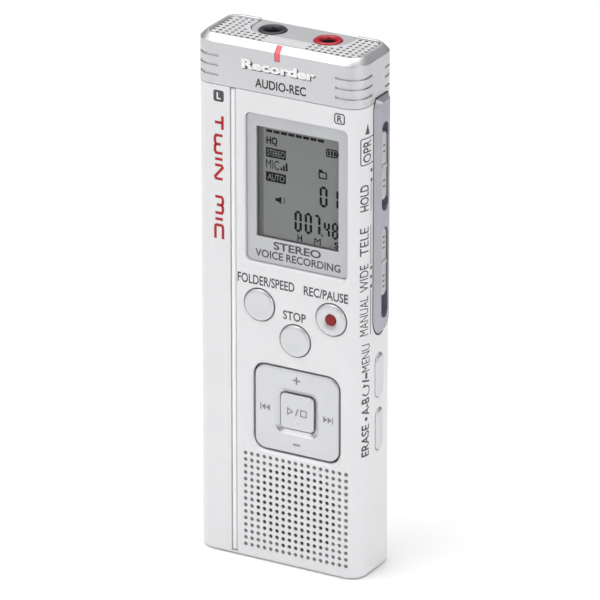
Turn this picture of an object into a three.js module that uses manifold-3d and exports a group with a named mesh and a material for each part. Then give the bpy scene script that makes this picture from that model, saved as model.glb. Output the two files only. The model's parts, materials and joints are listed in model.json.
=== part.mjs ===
// Handheld voice recorder: an upright pocket recorder on two AAA cells.
// Millimetres. +X is right, +Y is towards the back, +Z is up; the controls are on the -Y face.
import * as THREE from 'three';
import { mergeVertices } from 'three/addons/utils/BufferGeometryUtils.js';
import Module from 'manifold-3d';

const wasm = await Module();
wasm.setup();

// ---------------------------------------------------------------- driving dimensions
const WIDTH = 39.2;
const DEPTH = 15.4;
const HEIGHT = 116;
const CORNER = 4;                       // radius of the four upright edges
const WALL = 1.4;
const SEAM = 105.3;                     // where the silver cap meets the white covers
const CHAMFER = 1.35;                   // flat edge around the top of the cap
const GAP = 0.1;                        // between pieces that are fitted together
const SIDE = WIDTH / 2;
const FRONT = -DEPTH / 2;
const BACK = DEPTH / 2;
const INSIDE = FRONT + WALL;            // inner face of the front wall
const PARTING = FRONT + 8.5;            // plane where the front and rear covers meet
const PANEL = 4.4;                      // x of the middle of the control panel
const HOLE_SIDES = 4;                   // the two grilles have hundreds of holes, so each is a plain prism

const CELL = { diameter: 10.5, length: 44.5, nub: 0.8, pitch: 10.8 };
const CELL_Y = BACK - 1.3 - CELL.diameter / 2;
const CELL_LOW = 24.9;
const CELL_HIGH = 27.7;
const JACK = { x: 6.5, y: 2.45, hole: 3.6, ring: 5.9 };
const TRIM_X = -10.4;
const WINDOW = { width: 24.2, height: 33, x: PANEL + 0.1, z: 84.15, corner: 1.4, recess: 0.8 };
const KEY = { radius: 3.5, high: 58.4, low: 51.95, reach: 8.5, proud: 0.4 };
const PAD = { width: 20, height: 19, z: 35.4, corner: 2.6, recess: 0.5, gap: 0.6 };
const PAD_POSTS = [[7.4, 0], [-7.4, 0], [0, 7.4], [0, -7.4]];     // under the pad, from its middle
const PLAY = 7.9;                       // side of the square button inside the pad
const SPEAKER = { x: PANEL, z: 13.6, radius: 10 };
const HOLES = { pitch: 1.5, columns: 17, rows: 15, top: 24.1, diameter: 0.8, reach: 9.9 };
const SLOT = { width: 2.8, hold: [81.4, 100.8], range: [57.6, 77.6] };
const KNOB = { width: 2.5, length: 15 };
const BEZEL = SIDE + 1.25;              // outer face of the side bezel
const SIDE_KEYS = { menu: { z: 44.3, length: 9.8, width: 3.4 }, erase: { z: 32.1, length: 9.4, width: 3 } };
const DOOR = { halfWidth: 10.9, low: 25.6, high: 72.4, thickness: 1.25 };
const GRIP_GROOVE = { reachX: 13.7, reachY: 2.7, height: 0.6, depth: 0.35, lows: [111.5, 109.4, 107.3] };
const SCREWS = [[-15.6, 5.4], [15.6, 5.4], [-15.6, 98.6], [15.9, 52.6]];     // [x, z]
const KEY_BOARD = FRONT + 2.9;          // front face of the key board
const MAIN_BOARD = FRONT + 3.6;         // front face of the main board

// ---------------------------------------------------------------- finishes
const finish = (color, roughness, metalness = 0) =>
  new THREE.MeshStandardMaterial({ color, roughness, metalness });
const WHITE = finish('#e6e6e9', 0.38);
const SILVER = finish('#c9c9cd', 0.34, 0.6);
const BRIGHT = finish('#dcdce0', 0.2, 0.9);
const PURPLE_SILVER = finish('#b4afbc', 0.36, 0.6);
const GREY = finish('#9d9da1', 0.45, 0.2);
const PLATE_GREY = finish('#c4c5c8', 0.4, 0.4);
const RED = finish('#c81f2c', 0.35);
const BLACK = finish('#1c1c1f', 0.5);
const GLASS = finish('#878987', 0.12);
const CLEAR = finish('#d4d6d8', 0.08);
const BOARD = finish('#1f5a3a', 0.6);
const RUBBER = finish('#3a3a3d', 0.85);
const STEEL = finish('#b8b8ba', 0.3, 1);
const AMBER = finish('#c08a3a', 0.5);
const SLEEVE = finish('#3d6fb0', 0.35, 0.3);

// ---------------------------------------------------------------- shapes and solids
function roundedRect(width, height, radius, cx = 0, cy = 0) {
  const shape = new THREE.Shape();
  const [x, y] = [width / 2 - radius, height / 2 - radius];
  shape.absarc(cx + x, cy + y, radius, 0, Math.PI / 2);
  shape.absarc(cx - x, cy + y, radius, Math.PI / 2, Math.PI);
  shape.absarc(cx - x, cy - y, radius, Math.PI, Math.PI * 1.5);
  shape.absarc(cx + x, cy - y, radius, Math.PI * 1.5, Math.PI * 2);
  return shape;
}

function circle(radius, cx = 0, cy = 0) {
  const shape = new THREE.Shape();
  shape.absarc(cx, cy, radius, 0, Math.PI * 2);
  return shape;
}

// An oval with straight long sides, long along the second axis.
function pill(width, length, cx, cy) {
  const shape = new THREE.Shape();
  const [radius, reach] = [width / 2, (length - width) / 2];
  shape.absarc(cx, cy + reach, radius, 0, Math.PI);
  shape.absarc(cx, cy - reach, radius, Math.PI, Math.PI * 2);
  return shape;
}

const polygon = (points) => new THREE.Shape(points.map(([a, b]) => new THREE.Vector2(a, b)));

const axis = (x, y, z) => new THREE.Vector3(x, y, z);
const TO_X = new THREE.Matrix4().makeBasis(axis(0, 1, 0), axis(0, 0, 1), axis(1, 0, 0));
const TO_Y = new THREE.Matrix4().makeBasis(axis(1, 0, 0), axis(0, 0, 1), axis(0, -1, 0));

// Each arc of the outline becomes this many straight sides; three.js doubles curveSegments on arcs.
// A bevel narrows both ends of a prism by its size; the outline stays the widest section.
function extrude(shape, depth, segments, bevel) {
  const options = { depth, curveSegments: segments / 2, bevelEnabled: false };
  if (bevel) {
    options.bevelEnabled = true;
    options.depth = depth - 2 * bevel.thickness;
    options.bevelThickness = bevel.thickness;
    options.bevelSize = bevel.size;
    options.bevelOffset = -bevel.size;
    options.bevelSegments = bevel.segments ?? 1;
  }
  const geometry = new THREE.ExtrudeGeometry(shape, options);
  if (bevel) geometry.translate(0, 0, bevel.thickness);
  return geometry;
}

const prismZ = (shape, z0, z1, segments = 6, bevel = null) =>
  extrude(shape, z1 - z0, segments, bevel).translate(0, 0, z0);
const prismX = (shape, x0, x1, segments = 6, bevel = null) =>
  extrude(shape, x1 - x0, segments, bevel).applyMatrix4(TO_X).translate(x0, 0, 0);
const prismY = (shape, y0, y1, segments = 6, bevel = null) =>
  extrude(shape, y1 - y0, segments, bevel).applyMatrix4(TO_Y).translate(0, y1, 0);

function box(x0, x1, y0, y1, z0, z1) {
  return new THREE.BoxGeometry(x1 - x0, y1 - y0, z1 - z0)
    .translate((x0 + x1) / 2, (y0 + y1) / 2, (z0 + z1) / 2);
}

// Turned about +Y; the profile is [radius, y] from the front end to the back end.
function turnY(profile, segments, x, z) {
  const points = profile.map(([radius, y]) => new THREE.Vector2(radius, y));
  return new THREE.LatheGeometry(points, segments).translate(x, 0, z);
}

// Turned about +Z; the profile is [radius, z] from the upper end to the lower end.
function turnZ(profile, segments, x, y) {
  const points = profile.map(([radius, z]) => new THREE.Vector2(radius, -z));
  return new THREE.LatheGeometry(points, segments).rotateX(-Math.PI / 2).translate(x, y, 0);
}

function closed(geometry) {
  const bare = geometry.clone();
  bare.deleteAttribute('normal');
  bare.deleteAttribute('uv');
  return mergeVertices(bare, 1e-5);
}

function solid(geometry) {
  const merged = closed(geometry);
  return new wasm.Manifold(new wasm.Mesh({
    numProp: 3,
    vertProperties: new Float32Array(merged.attributes.position.array),
    triVerts: new Uint32Array(merged.index.array),
  }));
}

function surface(body) {
  const mesh = body.getMesh();
  const geometry = new THREE.BufferGeometry();
  geometry.setAttribute('position', new THREE.BufferAttribute(new Float32Array(mesh.vertProperties), 3));
  geometry.setIndex(new THREE.BufferAttribute(new Uint32Array(mesh.triVerts), 1));
  return geometry;
}

const join = (first, ...others) => others.reduce((body, other) => body.add(solid(other)), solid(first));
const cut = (body, ...tools) => tools.reduce((rest, tool) => rest.subtract(solid(tool)), body);

// ---------------------------------------------------------------- assembly
const recorder = new THREE.Group();

function addMesh(name, geometry, material) {
  const mesh = new THREE.Mesh(geometry, material);
  mesh.name = name;
  recorder.add(mesh);
}
const add = (name, geometry, material) => addMesh(name, closed(geometry), material);
const addSolid = (name, body, material) => addMesh(name, surface(body), material);

const plan = (inset) => roundedRect(WIDTH - 2 * inset, DEPTH - 2 * inset, CORNER - inset);
const FAR = 60;                         // beyond every face of the body

// ---------------------------------------------------------------- places shared by several pieces
const keyPlaces = [
  { name: 'folder', x: PANEL - KEY.reach, z: KEY.high },
  { name: 'record', x: PANEL + KEY.reach, z: KEY.high },
  { name: 'stop', x: PANEL, z: KEY.low },
];
const USB = { y: MAIN_BOARD + 0.85, z: 86, height: 3.7, width: 7.7, wall: 0.4, gap: 0.15 };

// ---------------------------------------------------------------- white covers
function coverBlock() {
  const outside = solid(prismZ(plan(0), 0, SEAM + 3, 7, { thickness: 0.8, size: 0.8, segments: 3 }));
  const walls = cut(outside, prismZ(plan(WALL), WALL, SEAM + 4));
  return cut(walls, box(-FAR, FAR, -FAR, FAR, SEAM, SEAM + 9));
}

const slotShape = (span, width) => pill(width, span[1] - span[0], PARTING, (span[0] + span[1]) / 2);
const sideKeyShape = (key, grow) => pill(key.width + 2 * grow, key.length + 2 * grow, PARTING, key.z);

// Openings in the right wall: two for the slide knobs' necks, two for the push keys.
function sideOpenings() {
  const necks = [SLOT.hold, SLOT.range].map((span) => prismX(slotShape(span, 1.6), SIDE - 3, SIDE + 2, 6));
  const keys = Object.values(SIDE_KEYS).map((key) => prismX(sideKeyShape(key, 0.15), SIDE - 3, SIDE + 2, 12));
  return [...necks, ...keys];
}

// Holes in front of the speaker cone; the rest of the grille's dots are too shallow to matter here.
function speakerHoles() {
  const middleRow = HOLES.top - HOLES.pitch * (HOLES.rows - 1) / 2;
  const centres = [];
  for (let row = 0; row < HOLES.rows; row++) {
    for (let column = 0; column < HOLES.columns; column++) {
      const across = HOLES.pitch * (column - (HOLES.columns - 1) / 2);
      const up = HOLES.top - HOLES.pitch * row;
      if (Math.hypot(across, up - middleRow) < HOLES.reach) centres.push([PANEL + across, up]);
    }
  }
  return centres.map(([x, z]) => prismY(circle(HOLES.diameter / 2, x, z), FRONT - 1, INSIDE + 1, HOLE_SIDES));
}

function frontCover() {
  let body = cut(coverBlock(), box(-FAR, FAR, PARTING - GAP / 2, FAR, -FAR, 2 * FAR));
  for (const [x, z] of SCREWS) {
    body = body.add(solid(prismY(circle(1.9, x, z), INSIDE - 0.5, PARTING - 0.2, 10)));
    body = cut(body, prismY(circle(0.85, x, z), INSIDE + 0.8, PARTING + 1, 8));
  }
  const { gap } = PAD;
  const padHole = roundedRect(PAD.width + 2 * gap, PAD.height + 2 * gap, PAD.corner + gap, PANEL, PAD.z);
  const keyHoles = keyPlaces.map(({ x, z }) =>
    prismY(circle(KEY.radius + 0.15, x, z), FRONT - 1, INSIDE + 1, 20));
  const flangeRoom = keyPlaces.map(({ x, z }) =>
    prismY(circle(KEY.radius + 0.7, x, z), INSIDE, INSIDE + 1.5, 16));
  const windowHole = roundedRect(WINDOW.width, WINDOW.height, WINDOW.corner, WINDOW.x, WINDOW.z);
  body = cut(body,
    prismY(windowHole, FRONT - 1, INSIDE + 1),
    prismY(padHole, FRONT - 1, INSIDE + 1),
    box(TRIM_X - 0.7, TRIM_X + 0.7, FRONT - 1, FRONT + 0.9, 1, SEAM + 1),
    box(-SIDE - 1, -SIDE + 4, USB.y - USB.gap, USB.y + USB.height + USB.gap,
      USB.z - USB.gap, USB.z + USB.width + USB.gap),
    ...keyHoles, ...flangeRoom, ...sideOpenings(), ...speakerHoles());
  return body;
}

function rearCover() {
  let body = cut(coverBlock(), box(-FAR, FAR, -FAR, PARTING + GAP / 2, -FAR, 2 * FAR));
  const wallY = BACK - WALL - 0.2;
  const rib = 1.1;
  const [ribX, low, high] = [DOOR.halfWidth + 0.25, DOOR.low - 2.4, DOOR.high + 1.45];
  for (const [x0, x1, z0, z1] of [[ribX, ribX + rib, low, high], [-ribX - rib, -ribX, low, high],
    [-ribX - 0.5, ribX + 0.5, low, low + rib], [-ribX - 0.5, ribX + 0.5, high - rib, high]]) {
    body = body.add(solid(box(x0, x1, PARTING + 0.6, wallY + 0.6, z0, z1)));
  }
  for (const [x, z] of SCREWS) {
    body = body.add(solid(prismY(circle(2.2, x, z), PARTING + 0.2, wallY + 0.6, 12)));
    body = cut(body, prismY(circle(1, x, z), PARTING - 1, BACK + 1, 8),
      prismY(circle(1.75, x, z), BACK - 2, BACK + 1, 12));
  }
  const reach = DOOR.halfWidth + 0.15;
  const opening = box(-reach, reach, BACK - WALL - 0.4, BACK + 1, DOOR.low - 0.15, DOOR.high + 0.15);
  return cut(body, opening, ...sideOpenings());
}

addSolid('front_cover', frontCover(), WHITE);
addSolid('rear_cover', rearCover(), WHITE);

// ---------------------------------------------------------------- silver cap, microphone grille and sockets
const LEDGE = HEIGHT - 1.1;             // shelf that the grille and the jack plate lie on
const GRILLE_TOP = HEIGHT - 0.25;
const JACK_PLATE = { halfWidth: 11.4, front: -1.2, corner: 4.6, back: BACK - 2.15 };

function jackPlateShape(grow) {
  const { halfWidth, front, corner, back } = JACK_PLATE;
  const shape = new THREE.Shape();
  const [x, y] = [halfWidth - corner, front + corner];
  shape.moveTo(halfWidth + grow, back + grow);
  shape.lineTo(-halfWidth - grow, back + grow);
  shape.absarc(-x, y, corner + grow, Math.PI, Math.PI * 1.5);
  shape.absarc(x, y, corner + grow, Math.PI * 1.5, Math.PI * 2);
  return shape;
}

// Side view of the record light's pipe, which bends over the cap's front edge.
function pipeShape(grow) {
  const [low, proud] = [112.9 - grow, FRONT - 0.06];
  return polygon([[proud, low], [proud, HEIGHT - CHAMFER - 0.05 + grow], [FRONT + 1.3, HEIGHT - 0.05 + grow],
    [FRONT + 1.6, low]]);
}

function topCap() {
  const outside = solid(prismZ(plan(0), SEAM + GAP - 3, HEIGHT, 7, { thickness: CHAMFER, size: CHAMFER }));
  let body = cut(outside,
    box(-FAR, FAR, -FAR, FAR, SEAM - 9, SEAM + GAP),
    prismZ(plan(WALL), SEAM - 4, HEIGHT - 2.1),
    prismZ(plan(2.6), SEAM - 4, HEIGHT + 1),
    prismZ(plan(2), LEDGE, HEIGHT + 1));
  const { reachX, reachY, height, depth } = GRIP_GROOVE;
  const band = prismZ(plan(-1), 0, height);
  const grooves = cut(solid(band), prismZ(plan(depth), -1, 2), box(-reachX, reachX, -FAR, FAR, -1, 2),
    box(-FAR, FAR, -reachY, reachY, -1, 2));
  for (const z of GRIP_GROOVE.lows) body = body.subtract(grooves.translate([0, 0, z]));
  const jackClearance = [-1, 1].map((side) => prismZ(circle(JACK.ring / 2 + 0.2, side * JACK.x, JACK.y),
    LEDGE - 3, LEDGE + 0.01, 20));
  return cut(body, prismX(pipeShape(0.08), -0.8, 0.8), ...jackClearance);
}

function inPlan(x, y, inset) {
  const radius = CORNER - inset;
  const dx = Math.max(0, Math.abs(x) - (SIDE - CORNER));
  const dy = Math.max(0, Math.abs(y) - (BACK - CORNER));
  return Math.hypot(dx, dy) < radius;
}

function nearJackPlate(x, y, margin) {
  const { halfWidth, front, corner } = JACK_PLATE;
  if (y > front + corner) return Math.abs(x) < halfWidth + margin;
  const dx = Math.max(0, Math.abs(x) - (halfWidth - corner));
  return Math.hypot(dx, front + corner - y) < corner + margin;
}

// Microphone holes: two square fields, one each side, that stop short of the jack plate.
function microphoneHoles() {
  const [pitchX, pitchY, first, columns, rows] = [1.43, 1.38, 5.5, 9, 8];
  const pins = [];
  for (const side of [-1, 1]) {
    for (let column = 0; column < columns; column++) {
      for (let row = 0; row < rows; row++) {
        const x = side * (first + column * pitchX);
        const y = (row - (rows - 1) / 2) * pitchY;
        if (inPlan(x, y, 2.45) && !nearJackPlate(x, y, 0.75)) {
          pins.push(prismZ(circle(0.38, x, y), LEDGE - 1, HEIGHT + 1, HOLE_SIDES));
        }
      }
    }
  }
  return pins;
}

function micGrille() {
  const plate = solid(prismZ(plan(2.1), LEDGE + 0.05, GRILLE_TOP));
  return cut(plate, prismZ(jackPlateShape(0.15), LEDGE - 1, HEIGHT + 1, 8), ...microphoneHoles());
}

function jackPlate() {
  const rings = [-1, 1].map((side) =>
    prismZ(circle(JACK.ring / 2 + 0.1, side * JACK.x, JACK.y), LEDGE - 1, HEIGHT, 24));
  return cut(solid(prismZ(jackPlateShape(0), LEDGE + 0.05, LEDGE + 0.5, 8)), ...rings);
}

addSolid('top_cap', topCap(), SILVER);
addSolid('mic_grille', micGrille(), WHITE);
addSolid('jack_plate', jackPlate(), PLATE_GREY);

for (const [name, side, material] of [['phones', -1, BLACK], ['mic', 1, RED]]) {
  const [x, outer, bore] = [side * JACK.x, JACK.ring / 2, JACK.hole / 2];
  const [low, high] = [HEIGHT - 2.2, HEIGHT - 0.3];
  const profile = [[bore + 0.35, high], [outer - 0.25, high], [outer, high - 0.25], [outer, low], [bore, low],
    [bore, high - 0.35], [bore + 0.35, high]];
  add(`${name}_jack_ring`, turnZ(profile, 20, x, JACK.y), material);
  const socket = cut(solid(box(x - 3, x + 3, JACK.y - 3, JACK.y + 3, HEIGHT - 13.8, HEIGHT - 2.4)),
    prismZ(circle(bore, x, JACK.y), HEIGHT - 13, HEIGHT, 16));
  addSolid(`${name}_jack`, socket, BLACK);
}

for (const [name, side] of [['left', -1], ['right', 1]]) {
  const [x, top] = [side * 14, HEIGHT - 2.8];
  const capsule = [[0, top], [2.85, top], [2.85, top - 2.4], [0, top - 2.4]];
  add(`${name}_microphone`, turnZ(capsule, 12, x, 0), STEEL);
  const boot = [[2.95, top], [3.6, top], [3.6, top - 3.1], [0, top - 3.1], [0, top - 2.5],
    [2.95, top - 2.5], [2.95, top]];
  add(`${name}_mic_boot`, turnZ(boot, 12, x, 0), RUBBER);
}

add('record_light_pipe', prismX(pipeShape(0), -0.7, 0.7), RED);
add('record_led', box(-0.8, 0.8, FRONT + 1.7, FRONT + 2.3, 112.6, 113.6), WHITE);

// ---------------------------------------------------------------- trim bar
function trimShape() {
  const shape = new THREE.Shape();
  shape.moveTo(TRIM_X - 0.6, FRONT + 0.8);
  shape.lineTo(TRIM_X + 0.6, FRONT + 0.8);
  shape.lineTo(TRIM_X + 0.6, FRONT + 0.65);
  shape.absarc(TRIM_X, FRONT + 0.65, 0.6, 0, -Math.PI, true);
  return shape;
}
add('trim_bar', prismZ(trimShape(), 1.2, SEAM - 0.2, 6), BRIGHT);

// ---------------------------------------------------------------- display
const panelRect = (width, height, radius) => roundedRect(width, height, radius, WINDOW.x, WINDOW.z);
add('display_window', prismY(panelRect(WINDOW.width - 0.3, WINDOW.height - 0.3, WINDOW.corner - 0.15),
  FRONT + WINDOW.recess, FRONT + 1.35), CLEAR);
addSolid('display_frame', cut(solid(prismY(panelRect(23.2, 34.6, 1), FRONT + 1.5, FRONT + 3.3, 2)),
  prismY(panelRect(21.4, 27.2, 0.4), FRONT + 1, FRONT + 4, 1)), BLACK);
add('display_glass', prismY(panelRect(21.2, 27, 0.3), FRONT + 1.55, FRONT + 2.5, 1), GLASS);
add('display_backlight', prismY(panelRect(21, 26.6, 0.3), FRONT + 2.55, FRONT + 3.25, 1), WHITE);
// A flat cable from the display that folds over the top edge of the main board.
const cableShape = polygon([
  [MAIN_BOARD - 0.15, 103.9], [MAIN_BOARD + 1.1, 103.9], [MAIN_BOARD + 1.1, 104.05],
  [MAIN_BOARD - 0.15, 104.05], [MAIN_BOARD - 0.3, 103.9], [MAIN_BOARD - 0.3, 102.3]]);
add('display_cable', prismX(cableShape, PANEL - 5, PANEL + 5), AMBER);

// ---------------------------------------------------------------- boards, chips and domes
const screwRoom = () => SCREWS.map(([x, z]) => prismY(circle(2.3, x, z), -FAR / 2, FAR / 2, 12));
const keyBoard = box(-13.5, 15.5, KEY_BOARD, KEY_BOARD + 0.6, 25.2, 66);
addSolid('key_board', cut(solid(keyBoard), ...screwRoom()), BOARD);
const domeHeight = 0.15;
const domePlaces = [...keyPlaces.map(({ x, z }) => [x, z]), [PANEL, PAD.z],
  ...PAD_POSTS.map(([dx, dz]) => [PANEL + dx, PAD.z + dz])];
const domeTop = KEY_BOARD - 0.15 - domeHeight;
const domes = domePlaces.map(([x, z]) =>
  turnY([[0, domeTop], [0.9, domeTop], [1.8, KEY_BOARD - 0.1], [0, KEY_BOARD - 0.1]], 8, x, z));
addSolid('dome_sheet', cut(join(box(-12.5, 14.8, KEY_BOARD - 0.15, KEY_BOARD - 0.05, 25.6, 65), ...domes),
  ...screwRoom()), STEEL);
const mainBoard = box(-16.8, 16.8, MAIN_BOARD, MAIN_BOARD + 0.8, 74.4, 103.8);
addSolid('main_board', cut(solid(mainBoard), ...screwRoom()), BOARD);
add('processor', box(-4, 5, MAIN_BOARD + 0.85, MAIN_BOARD + 1.75, 88, 97), BLACK);
add('memory_chip', box(-5, 6, MAIN_BOARD + 0.85, MAIN_BOARD + 1.65, 77.5, 84.5), BLACK);
const usbShell = box(-SIDE + 0.3, -SIDE + 9, USB.y, USB.y + USB.height, USB.z, USB.z + USB.width);
const usbMouth = box(-SIDE - 1, -SIDE + 6.5, USB.y + USB.wall, USB.y + USB.height - USB.wall,
  USB.z + USB.wall, USB.z + USB.width - USB.wall);
addSolid('usb_socket', cut(solid(usbShell), usbMouth), STEEL);

// ---------------------------------------------------------------- front keys
for (const { name, x, z } of keyPlaces) {
  const front = FRONT - KEY.proud;
  const face = name === 'record' ? [[0, front + 0.4], [1.32, front + 0.4], [1.32, front]] : [[0, front]];
  const flange = KEY.radius + 0.5;
  const profile = [...face, [KEY.radius - 0.25, front], [KEY.radius, front + 0.25],
    [KEY.radius, INSIDE + 0.1], [flange, INSIDE + 0.1], [flange, INSIDE + 0.4], [1, INSIDE + 0.4],
    [1, FRONT + 2.2], [0, FRONT + 2.2]];
  add(`${name}_button`, turnY(profile, 20, x, z), SILVER);
}
const recordPlace = keyPlaces[1];
const dotFace = FRONT - KEY.proud - 0.03;
const dotProfile = [[0, dotFace], [1.15, dotFace], [1.25, dotFace + 0.11], [1.25, FRONT - 0.03],
  [0, FRONT - 0.03]];
add('record_dot', turnY(dotProfile, 16, recordPlace.x, recordPlace.z), RED);

// ---------------------------------------------------------------- direction pad
function directionRing() {
  const face = FRONT + PAD.recess;
  const back = FRONT + 1.5;
  const square = (side, radius) => roundedRect(side, side, radius, PANEL, PAD.z);
  let body = solid(prismY(roundedRect(PAD.width, PAD.height, PAD.corner, PANEL, PAD.z), face, back + 2, 7,
    { thickness: 0.45, size: 0.45, segments: 2 }));
  body = cut(body, box(-FAR, FAR, back, FAR, -FAR, 2 * FAR));
  body = cut(body, prismY(square(PLAY + 0.6, 1.2), face - 1, back + 1));
  const funnel = prismY(square(PLAY + 2.5, 2.1), face - 3, face + 0.62, 6, { thickness: 0.62, size: 0.95 });
  body = cut(body, funnel);
  for (const [dx, dz] of PAD_POSTS) {
    body = body.add(solid(prismY(circle(0.7, PANEL + dx, PAD.z + dz), back - 0.2, FRONT + 2.33, 8)));
  }
  return body;
}
addSolid('nav_ring', directionRing(), SILVER);

const webSquare = (side) => roundedRect(side, side, 0.8, PANEL, PAD.z);
addSolid('nav_web', cut(solid(prismY(webSquare(12.4), FRONT + 1.75, FRONT + 2.15, 2)),
  prismY(webSquare(9.4), FRONT + 1, FRONT + 3, 2)), RUBBER);

const playFace = FRONT + 0.6;
const playFlange = FRONT + 1.82;        // far enough back to clear the pad when it tips
const playEdge = { thickness: 0.15, size: 0.15 };
addSolid('play_button', join(
  prismY(roundedRect(PLAY, PLAY, 0.95, PANEL, PAD.z), playFace, playFlange + 0.1, 5, playEdge),
  prismY(roundedRect(8.8, 8.8, 1, PANEL, PAD.z), playFlange, playFlange + 0.2, 3),
  prismY(circle(1.2, PANEL, PAD.z), playFlange + 0.1, FRONT + 2.2, 8)), SILVER);

// ---------------------------------------------------------------- right side: bezel, knobs and keys
// The bezel is a shallow boat: [y, z] outlines at the wall and at its outer face.
function sideBezel() {
  const foot = [[PARTING - 3, 104.2], [PARTING - 2.1, 106.1], [PARTING + 3, 106.1], [PARTING + 3, 57.6],
    [PARTING + 1.6, 54.9], [PARTING - 0.6, 53.7], [PARTING - 2.3, 54.6], [PARTING - 3, 57]];
  const face = [[PARTING - 1.9, 104], [PARTING - 1.3, 105.4], [PARTING + 1.9, 105.4], [PARTING + 1.9, 58.4],
    [PARTING + 0.9, 56.2], [PARTING - 0.5, 55.2], [PARTING - 1.4, 55.9], [PARTING - 1.9, 57.8]];
  const ring = (outline, x) => outline.flatMap(([y, z]) => [x, y, z]);
  const count = foot.length;
  const faces = [];
  for (let i = 0; i < count; i++) {
    const next = (i + 1) % count;
    faces.push(i, count + next, next, i, count + i, count + next);
    if (i > 0 && i < count - 1) faces.push(0, i, i + 1, count, count + i + 1, count + i);
  }
  const geometry = new THREE.BufferGeometry();
  const corners = [...ring(foot, SIDE + 0.05), ...ring(face, BEZEL)];
  geometry.setAttribute('position', new THREE.Float32BufferAttribute(corners, 3));
  geometry.setIndex(faces);
  const slots = [SLOT.hold, SLOT.range].map((span) =>
    prismX(slotShape(span, SLOT.width), SIDE - 1, BEZEL + 1, 10));
  return cut(solid(geometry), ...slots);
}
addSolid('side_bezel', sideBezel(), PURPLE_SILVER);

// A knob is a long oval cap with a ridge across its middle, and a neck through the wall to its switch.
function slideKnob(middle) {
  return join(
    prismX(pill(KNOB.width, KNOB.length, PARTING, middle), SIDE + 0.15, BEZEL - 0.35, 10),
    prismX(polygon([[PARTING - 0.95, middle - 0.4], [PARTING + 0.95, middle - 0.4],
      [PARTING + 0.95, middle + 0.4], [PARTING - 0.95, middle + 0.4]]), BEZEL - 0.4, BEZEL - 0.05),
    box(SIDE - 1.55, SIDE + 0.2, PARTING - 0.6, PARTING + 0.6, middle - 1.5, middle + 1.5));
}
const HOLD_KNOB = (SLOT.hold[0] + SLOT.hold[1]) / 2;
const RANGE_KNOB = SLOT.range[1] - 0.2 - KNOB.length / 2;
addSolid('hold_knob', slideKnob(HOLD_KNOB), GREY);
addSolid('range_knob', slideKnob(RANGE_KNOB), GREY);

const switchBox = (z0, z1) => box(SIDE - 4.6, SIDE - 1.75, PARTING - 2, PARTING + 2, z0, z1);
add('hold_switch', switchBox(HOLD_KNOB - 5, HOLD_KNOB + 5), STEEL);
add('range_switch', switchBox(RANGE_KNOB - 7.4, RANGE_KNOB + 3), STEEL);

for (const [name, key] of Object.entries(SIDE_KEYS)) {
  addSolid(`${name}_button`, join(
    prismX(sideKeyShape(key, 0), SIDE - WALL - 0.2, SIDE + 0.4, 12, { thickness: 0.2, size: 0.2 }),
    prismX(sideKeyShape(key, 0.4), SIDE - WALL - 0.45, SIDE - WALL - 0.1, 8),
    prismX(circle(0.9, PARTING, key.z), SIDE - WALL - 0.85, SIDE - WALL - 0.35, 8)), SILVER);
  const [inner, outer] = [SIDE - 4.4, SIDE - WALL - 1.25];
  add(`${name}_switch`, box(inner, outer, PARTING - 2, PARTING + 2, key.z - 2.2, key.z + 2.2), STEEL);
}

// ---------------------------------------------------------------- speaker
const SPEAKER_SIDES = 18;
const speakerPart = (name, profile, material) =>
  add(name, turnY(profile, SPEAKER_SIDES, SPEAKER.x, SPEAKER.z), material);
const rim = SPEAKER.radius;
const gasketFront = INSIDE + 0.06;
speakerPart('speaker_gasket', [[8.6, gasketFront], [rim, gasketFront], [rim, INSIDE + 0.3],
  [8.6, INSIDE + 0.3], [8.6, gasketFront]], RUBBER);
const cone = INSIDE + 0.4;              // front edge of the speaker's frame
speakerPart('speaker_frame', [[8.9, cone], [rim, cone], [rim, cone + 1.4], [6.5, cone + 3.1],
  [3.2, cone + 3.1], [3.2, cone + 2.7], [6.3, cone + 2.7], [9.4, cone + 1.2], [9.4, cone + 0.3],
  [8.9, cone + 0.3], [8.9, cone]], BLACK);
speakerPart('speaker_cone', [[0, cone + 0.5], [3, cone + 0.8], [3.3, cone + 1.5], [8.8, cone + 0.35],
  [9.2, cone + 0.6], [3.2, cone + 1.8], [2.7, cone + 1.1], [0, cone + 0.8]], BLACK);
speakerPart('speaker_magnet', [[0, cone + 2.2], [2.7, cone + 2.2], [2.7, cone + 3.15], [5, cone + 3.15],
  [5, cone + 5], [0, cone + 5]], STEEL);

// ---------------------------------------------------------------- cells and contacts
function cellProfile(low, nubUp) {
  const high = low + CELL.length;
  const radius = CELL.diameter / 2;
  const body = nubUp ? [low, high - CELL.nub] : [low + CELL.nub, high];
  const nub = nubUp
    ? [[0, high], [1.9, high], [1.9, body[1]]]
    : [[0, body[1]]];
  const foot = nubUp
    ? [[radius, body[0]], [0, body[0]]]
    : [[radius, body[0]], [1.9, body[0]], [1.9, low], [0, low]];
  return [...nub, [radius, body[1]], ...foot];
}
const cellX = CELL.pitch / 2;
add('battery_1', turnZ(cellProfile(CELL_HIGH, true), 16, -cellX, CELL_Y), SLEEVE);
add('battery_2', turnZ(cellProfile(CELL_LOW, false), 16, cellX, CELL_Y), SLEEVE);

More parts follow.
